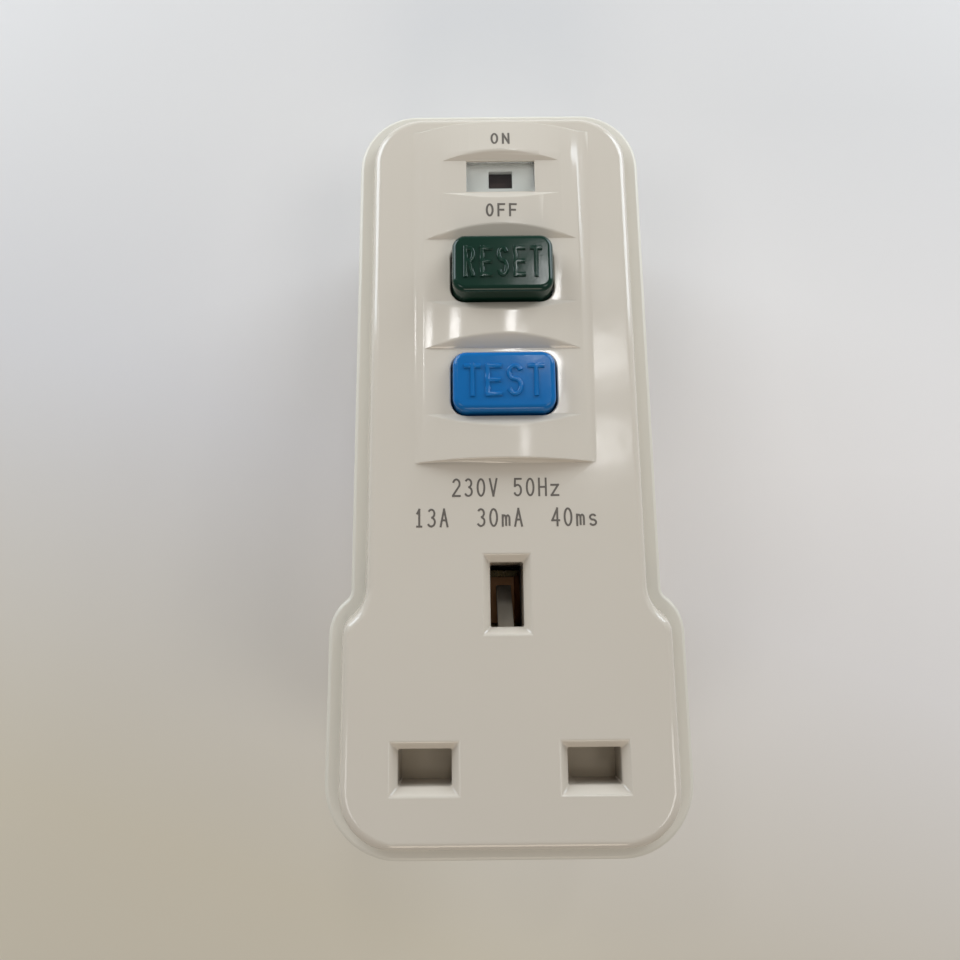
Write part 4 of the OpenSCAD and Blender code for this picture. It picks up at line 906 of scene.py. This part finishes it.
class ScrewOperator(bpy.types.Operator):
    """Makes the case screws, with thread and cross recess"""
    bl_idname = "adapter.screws"
    bl_label = "Case screws"
    # Height of a head and of the thread's ridge
    head_h, ridge = 2.1 * MM, 0.28 * MM

    def execute(self, context):
        sizes = context.scene.adapter_sizes
        node = "case_screws"
        solids = islands(node)
        if len(solids) != 4:
            raise RuntimeError("the case should have four screws")
        centre, half = solids[0]
        seat = centre.y + half.y - self.head_h
        reach = 2 * half.y - self.head_h
        points = drawn("case_screw_set", [(at.x, seat, at.z) for at, _ in solids])
        piece = screw_growth().run(
            points, FINISHES["steel"], Head=half.x, Shank=sizes.screw_shank, Reach=reach, Ridge=self.ridge,
            Recess=sizes.screw_recess,
            **{"Head height": self.head_h, "Thread turns": reach * THREADED / sizes.screw_pitch})
        piece.data.shade_smooth()
        piece.data.set_sharp_from_angle(angle=math.radians(35))
        hand_over(piece, node, "steel")
        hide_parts(node)
        return {"FINISHED"}


class SpringOperator(bpy.types.Operator):
    """Winds the five springs"""
    bl_idname = "adapter.springs"
    bl_label = "Springs"

    # Node, axis that it lies along, number of coils and wire radius in millimetres
    springs = (("reset_spring", "Y", 4.2, 0.3), ("test_spring", "Y", 4.2, 0.3), ("trip_spring", "Y", 3, 0.2),
               ("shutter_spring", "Z", 9, 0.2), ("plunger_spring", "Z", 4, 0.2))

    def execute(self, context):
        growth = coil_growth()
        for node, axis, coils, thick in self.springs:
            low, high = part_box(node)
            wire = thick * MM
            along = Vector((0, 1, 0)) if axis == "Y" else Vector((0, 0, 1))
            long = (high - low).dot(along)
            foot = (low + high) / 2 + along * (wire - long / 2)
            piece = growth.run(drawn(node + "_coil", []), FINISHES["spring_steel"], Coils=coils,
                               Radius=(high.x - low.x) / 2 - wire, Length=long - 2 * wire, Wire=wire)
            turn = Matrix.Rotation(math.radians(-90), 4, "X") if axis == "Y" else Matrix.Identity(4)
            piece.data.transform(Matrix.Translation(foot) @ turn)
            hand_over(piece, node, "spring_steel")
            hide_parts(node)
        return {"FINISHED"}


class InsideOperator(bpy.types.Operator):
    """Gives every other node its finish"""
    bl_idname = "adapter.inside"
    bl_label = "Inside"

    def execute(self, context):
        for name, node in frame["nodes"].items():
            node.data.materials.clear()
            node.data.materials.append(FINISHES[SLOT_OF[name]])
        return {"FINISHED"}


def add_lamp(name, at, aim, watts, size, rgb=(1, 1, 1)):
    """Square soft lamp that looks at a point"""
    lamp = bpy.data.lights.new(name, "AREA")
    lamp.energy = watts
    lamp.size = size
    lamp.color = rgb
    holder = bpy.data.objects.new(name, lamp)
    holder.location = at
    holder.rotation_euler = (Vector(aim) - Vector(at)).to_track_quat("-Z", "Y").to_euler()
    bpy.context.scene.collection.objects.link(holder)
    return holder


def table_finish(stage):
    """Pale paper with painted light and shade, lit on the right, darker on the left and the upper side, warmer
    and darker below, that fades out far away and hides nothing behind it
    """
    material, start = new_material("table_paper")
    at = own_place(start)
    height = start.node("ShaderNodeSeparateXYZ", None, {"Vector": at}, out="Z")
    along = start.node("ShaderNodeSeparateXYZ", None, {"Vector": at}, out="X")
    # Painted light and shade across the paper, from its darker, warmer lower edge to its lit right side and
    # darker upper side
    rise = ramped(start, height + along * 0.4, -0.06, 0.04)
    across = ramped(start, along, -0.06, 0.06)
    far = ramped(start, height, 0.05, 0.12)
    lit = across.mixed(tint(stage.table_left), tint(stage.table_light))
    tone = far.mixed(rise.mixed(tint(stage.table_low), lit), tint(stage.table_top))
    grain = noise(start, 900, 3.0)
    bump = bumped(start, 0.05, 0.1 * MM, grain)
    paper = start.node("ShaderNodeBsdfPrincipled", None,
                       {"Base Color": tone, "Roughness": grain * 0.1 + 0.6, "Normal": bump,
                        "Specular IOR Level": 0.2})
    behind = start.node("ShaderNodeNewGeometry", out="Backfacing")
    shadow = start.node("ShaderNodeLightPath", out="Is Shadow Ray")
    away = start.node("ShaderNodeVectorMath", {"operation": "LENGTH"}, {0: at}, out="Value")
    edge = ramped(start, away, 0.25, 0.6)
    open_side = start.math("MAXIMUM", start.math("MAXIMUM", behind, shadow), edge)
    clear = start.node("ShaderNodeBsdfTransparent")
    sheet = start.node("ShaderNodeMixShader", None, {0: open_side, 1: paper, 2: clear})
    return end_material(material, start, sheet)


def room_light(stage):
    """Even light from all round, and a pale room for the camera past the table"""
    world = bpy.data.worlds.new("room")
    world.use_nodes = True
    world.node_tree.nodes.clear()
    start = Wire(world.node_tree)
    seen = start.node("ShaderNodeLightPath", out="Is Camera Ray")
    level = (1 - seen) * stage.ambient + seen
    tone = seen.mixed((0.96, 0.98, 1.0, 1), tint(stage.room))
    sky = start.node("ShaderNodeBackground", None, {"Color": tone, "Strength": level})
    start.node("ShaderNodeOutputWorld", None, {"Surface": sky})
    bpy.context.scene.world = world


class StageOperator(bpy.types.Operator):
    """Sets up the camera, the lamps and the table that the adapter lies on"""
    bl_idname = "adapter.stage"
    bl_label = "Stage"

    # Point that every lamp looks at
    aim = Vector((0, -0.03, 0.042))
    # Name, setting of the power, place, size and tint of each soft lamp
    lamps = (("key", "key", (0.72, -1.25, -0.42), 0.5, (1, 0.985, 0.96)),
             ("top_-1", "top", (-0.22, -0.14, 0.26), 0.2, (0.83, 0.92, 1)),
             ("top_1", "top", (0.22, -0.14, 0.26), 0.2, (0.83, 0.92, 1)),
             ("low", "low", (0, -0.5, -1.15), 0.5, (1, 0.88, 0.72)),
             ("left", "left", (-0.72, -1.25, -0.42), 0.5, (1, 1, 1)),
             ("back", "back", (-0.35, 0.70, 0.45), 0.6, (1, 1, 1)))
    # Directions of the small ceiling panels that show as highlights in the gloss, and their share of the power
    panels = ((0.17, -0.92, 0.35, 0.5), (0.176, -0.956, 0.234, 0.45), (0.09, -0.916, 0.39, 1),
              (0.1115, -0.887, 0.448, 1.3), (-0.30, -0.87, 0.39, 1))
    panel_away, panel_size = 1.9, 0.12
    # Half the table's width, and its gap to the earth pin
    reach, gap = 3, 0.5 * MM

    def execute(self, context):
        stage, scene = context.scene.adapter_stage, context.scene
        scene.view_settings.view_transform = "Standard"
        view = bpy.data.cameras.new("photo_view")
        view.lens = stage.camera_lens
        view.sensor_width = 36
        view.clip_start = 5 * MM
        camera = bpy.data.objects.new("photo_view", view)
        camera.location = stage.camera_at
        camera.rotation_euler = stage.camera_turn
        scene.collection.objects.link(camera)
        scene.camera = camera
        self.lay_table(stage)
        for name, level, at, size, rgb in self.lamps:
            add_lamp(name, at, self.aim, getattr(stage, level), size, rgb)
        for i, (*way, share) in enumerate(self.panels):
            at = self.aim + Vector(way).normalized() * self.panel_away
            add_lamp(f"panel_{i}", at, self.aim, stage.spot * share, self.panel_size)
        room_light(stage)
        return {"FINISHED"}

    def lay_table(self, stage):
        """Table through the tip of the earth pin and the upper edge of the back"""
        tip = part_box("earth_pin")[1]
        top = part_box("rear_cover")[1]
        slope = (top.y - tip.y) / (top.z - tip.z)
        corners = [(x * self.reach, tip.y + self.gap + slope * (z * self.reach - tip.z), z * self.reach)
                   for x, z in ((-1, -1), (1, -1), (1, 1), (-1, 1))]
        table = drawn("table", corners, faces=[(0, 1, 2, 3)])
        table.data.materials.append(table_finish(stage))


STEPS = (InsideOperator, CoverOperator, ButtonOperator, MarkOperator, WindowOperator, SocketOperator,
         PinOperator, ScrewOperator, SpringOperator, StageOperator)


class AdapterPanel(bpy.types.Panel):
    """Lists the steps in the sidebar"""
    bl_idname = "VIEW3D_PT_adapter"
    bl_label = "Residual current adapter"
    bl_space_type = "VIEW_3D"
    bl_region_type = "UI"
    bl_category = "Adapter"

    def draw(self, context):
        for step in STEPS:
            self.layout.operator(step.bl_idname)
        for group in ("adapter_sizes", "adapter_colours", "adapter_stage"):
            settings = getattr(context.scene, group)
            for key in settings.__annotations__:
                self.layout.prop(settings, key)


GROUPS = {"adapter_sizes": AdapterSizes, "adapter_colours": AdapterColours, "adapter_stage": AdapterStage}
CLASSES = (*GROUPS.values(), *STEPS, AdapterPanel)


def register():
    for cls in CLASSES:
        bpy.utils.register_class(cls)
    for key, group in GROUPS.items():
        setattr(bpy.types.Scene, key, PointerProperty(type=group))


def unregister():
    for key in GROUPS:
        delattr(bpy.types.Scene, key)
    for cls in reversed(CLASSES):
        bpy.utils.unregister_class(cls)


def main():
    register()
    FINISHES.update(make_finishes(bpy.context.scene.adapter_colours))
    bpy.ops.adapter.inside()
    bpy.ops.adapter.covers()
    bpy.ops.adapter.buttons()
    bpy.ops.adapter.marks()
    bpy.ops.adapter.window()
    bpy.ops.adapter.socket()
    bpy.ops.adapter.pins()
    bpy.ops.adapter.screws()
    bpy.ops.adapter.springs()
    bpy.ops.adapter.stage()


if __name__ == "__main__":
    main()
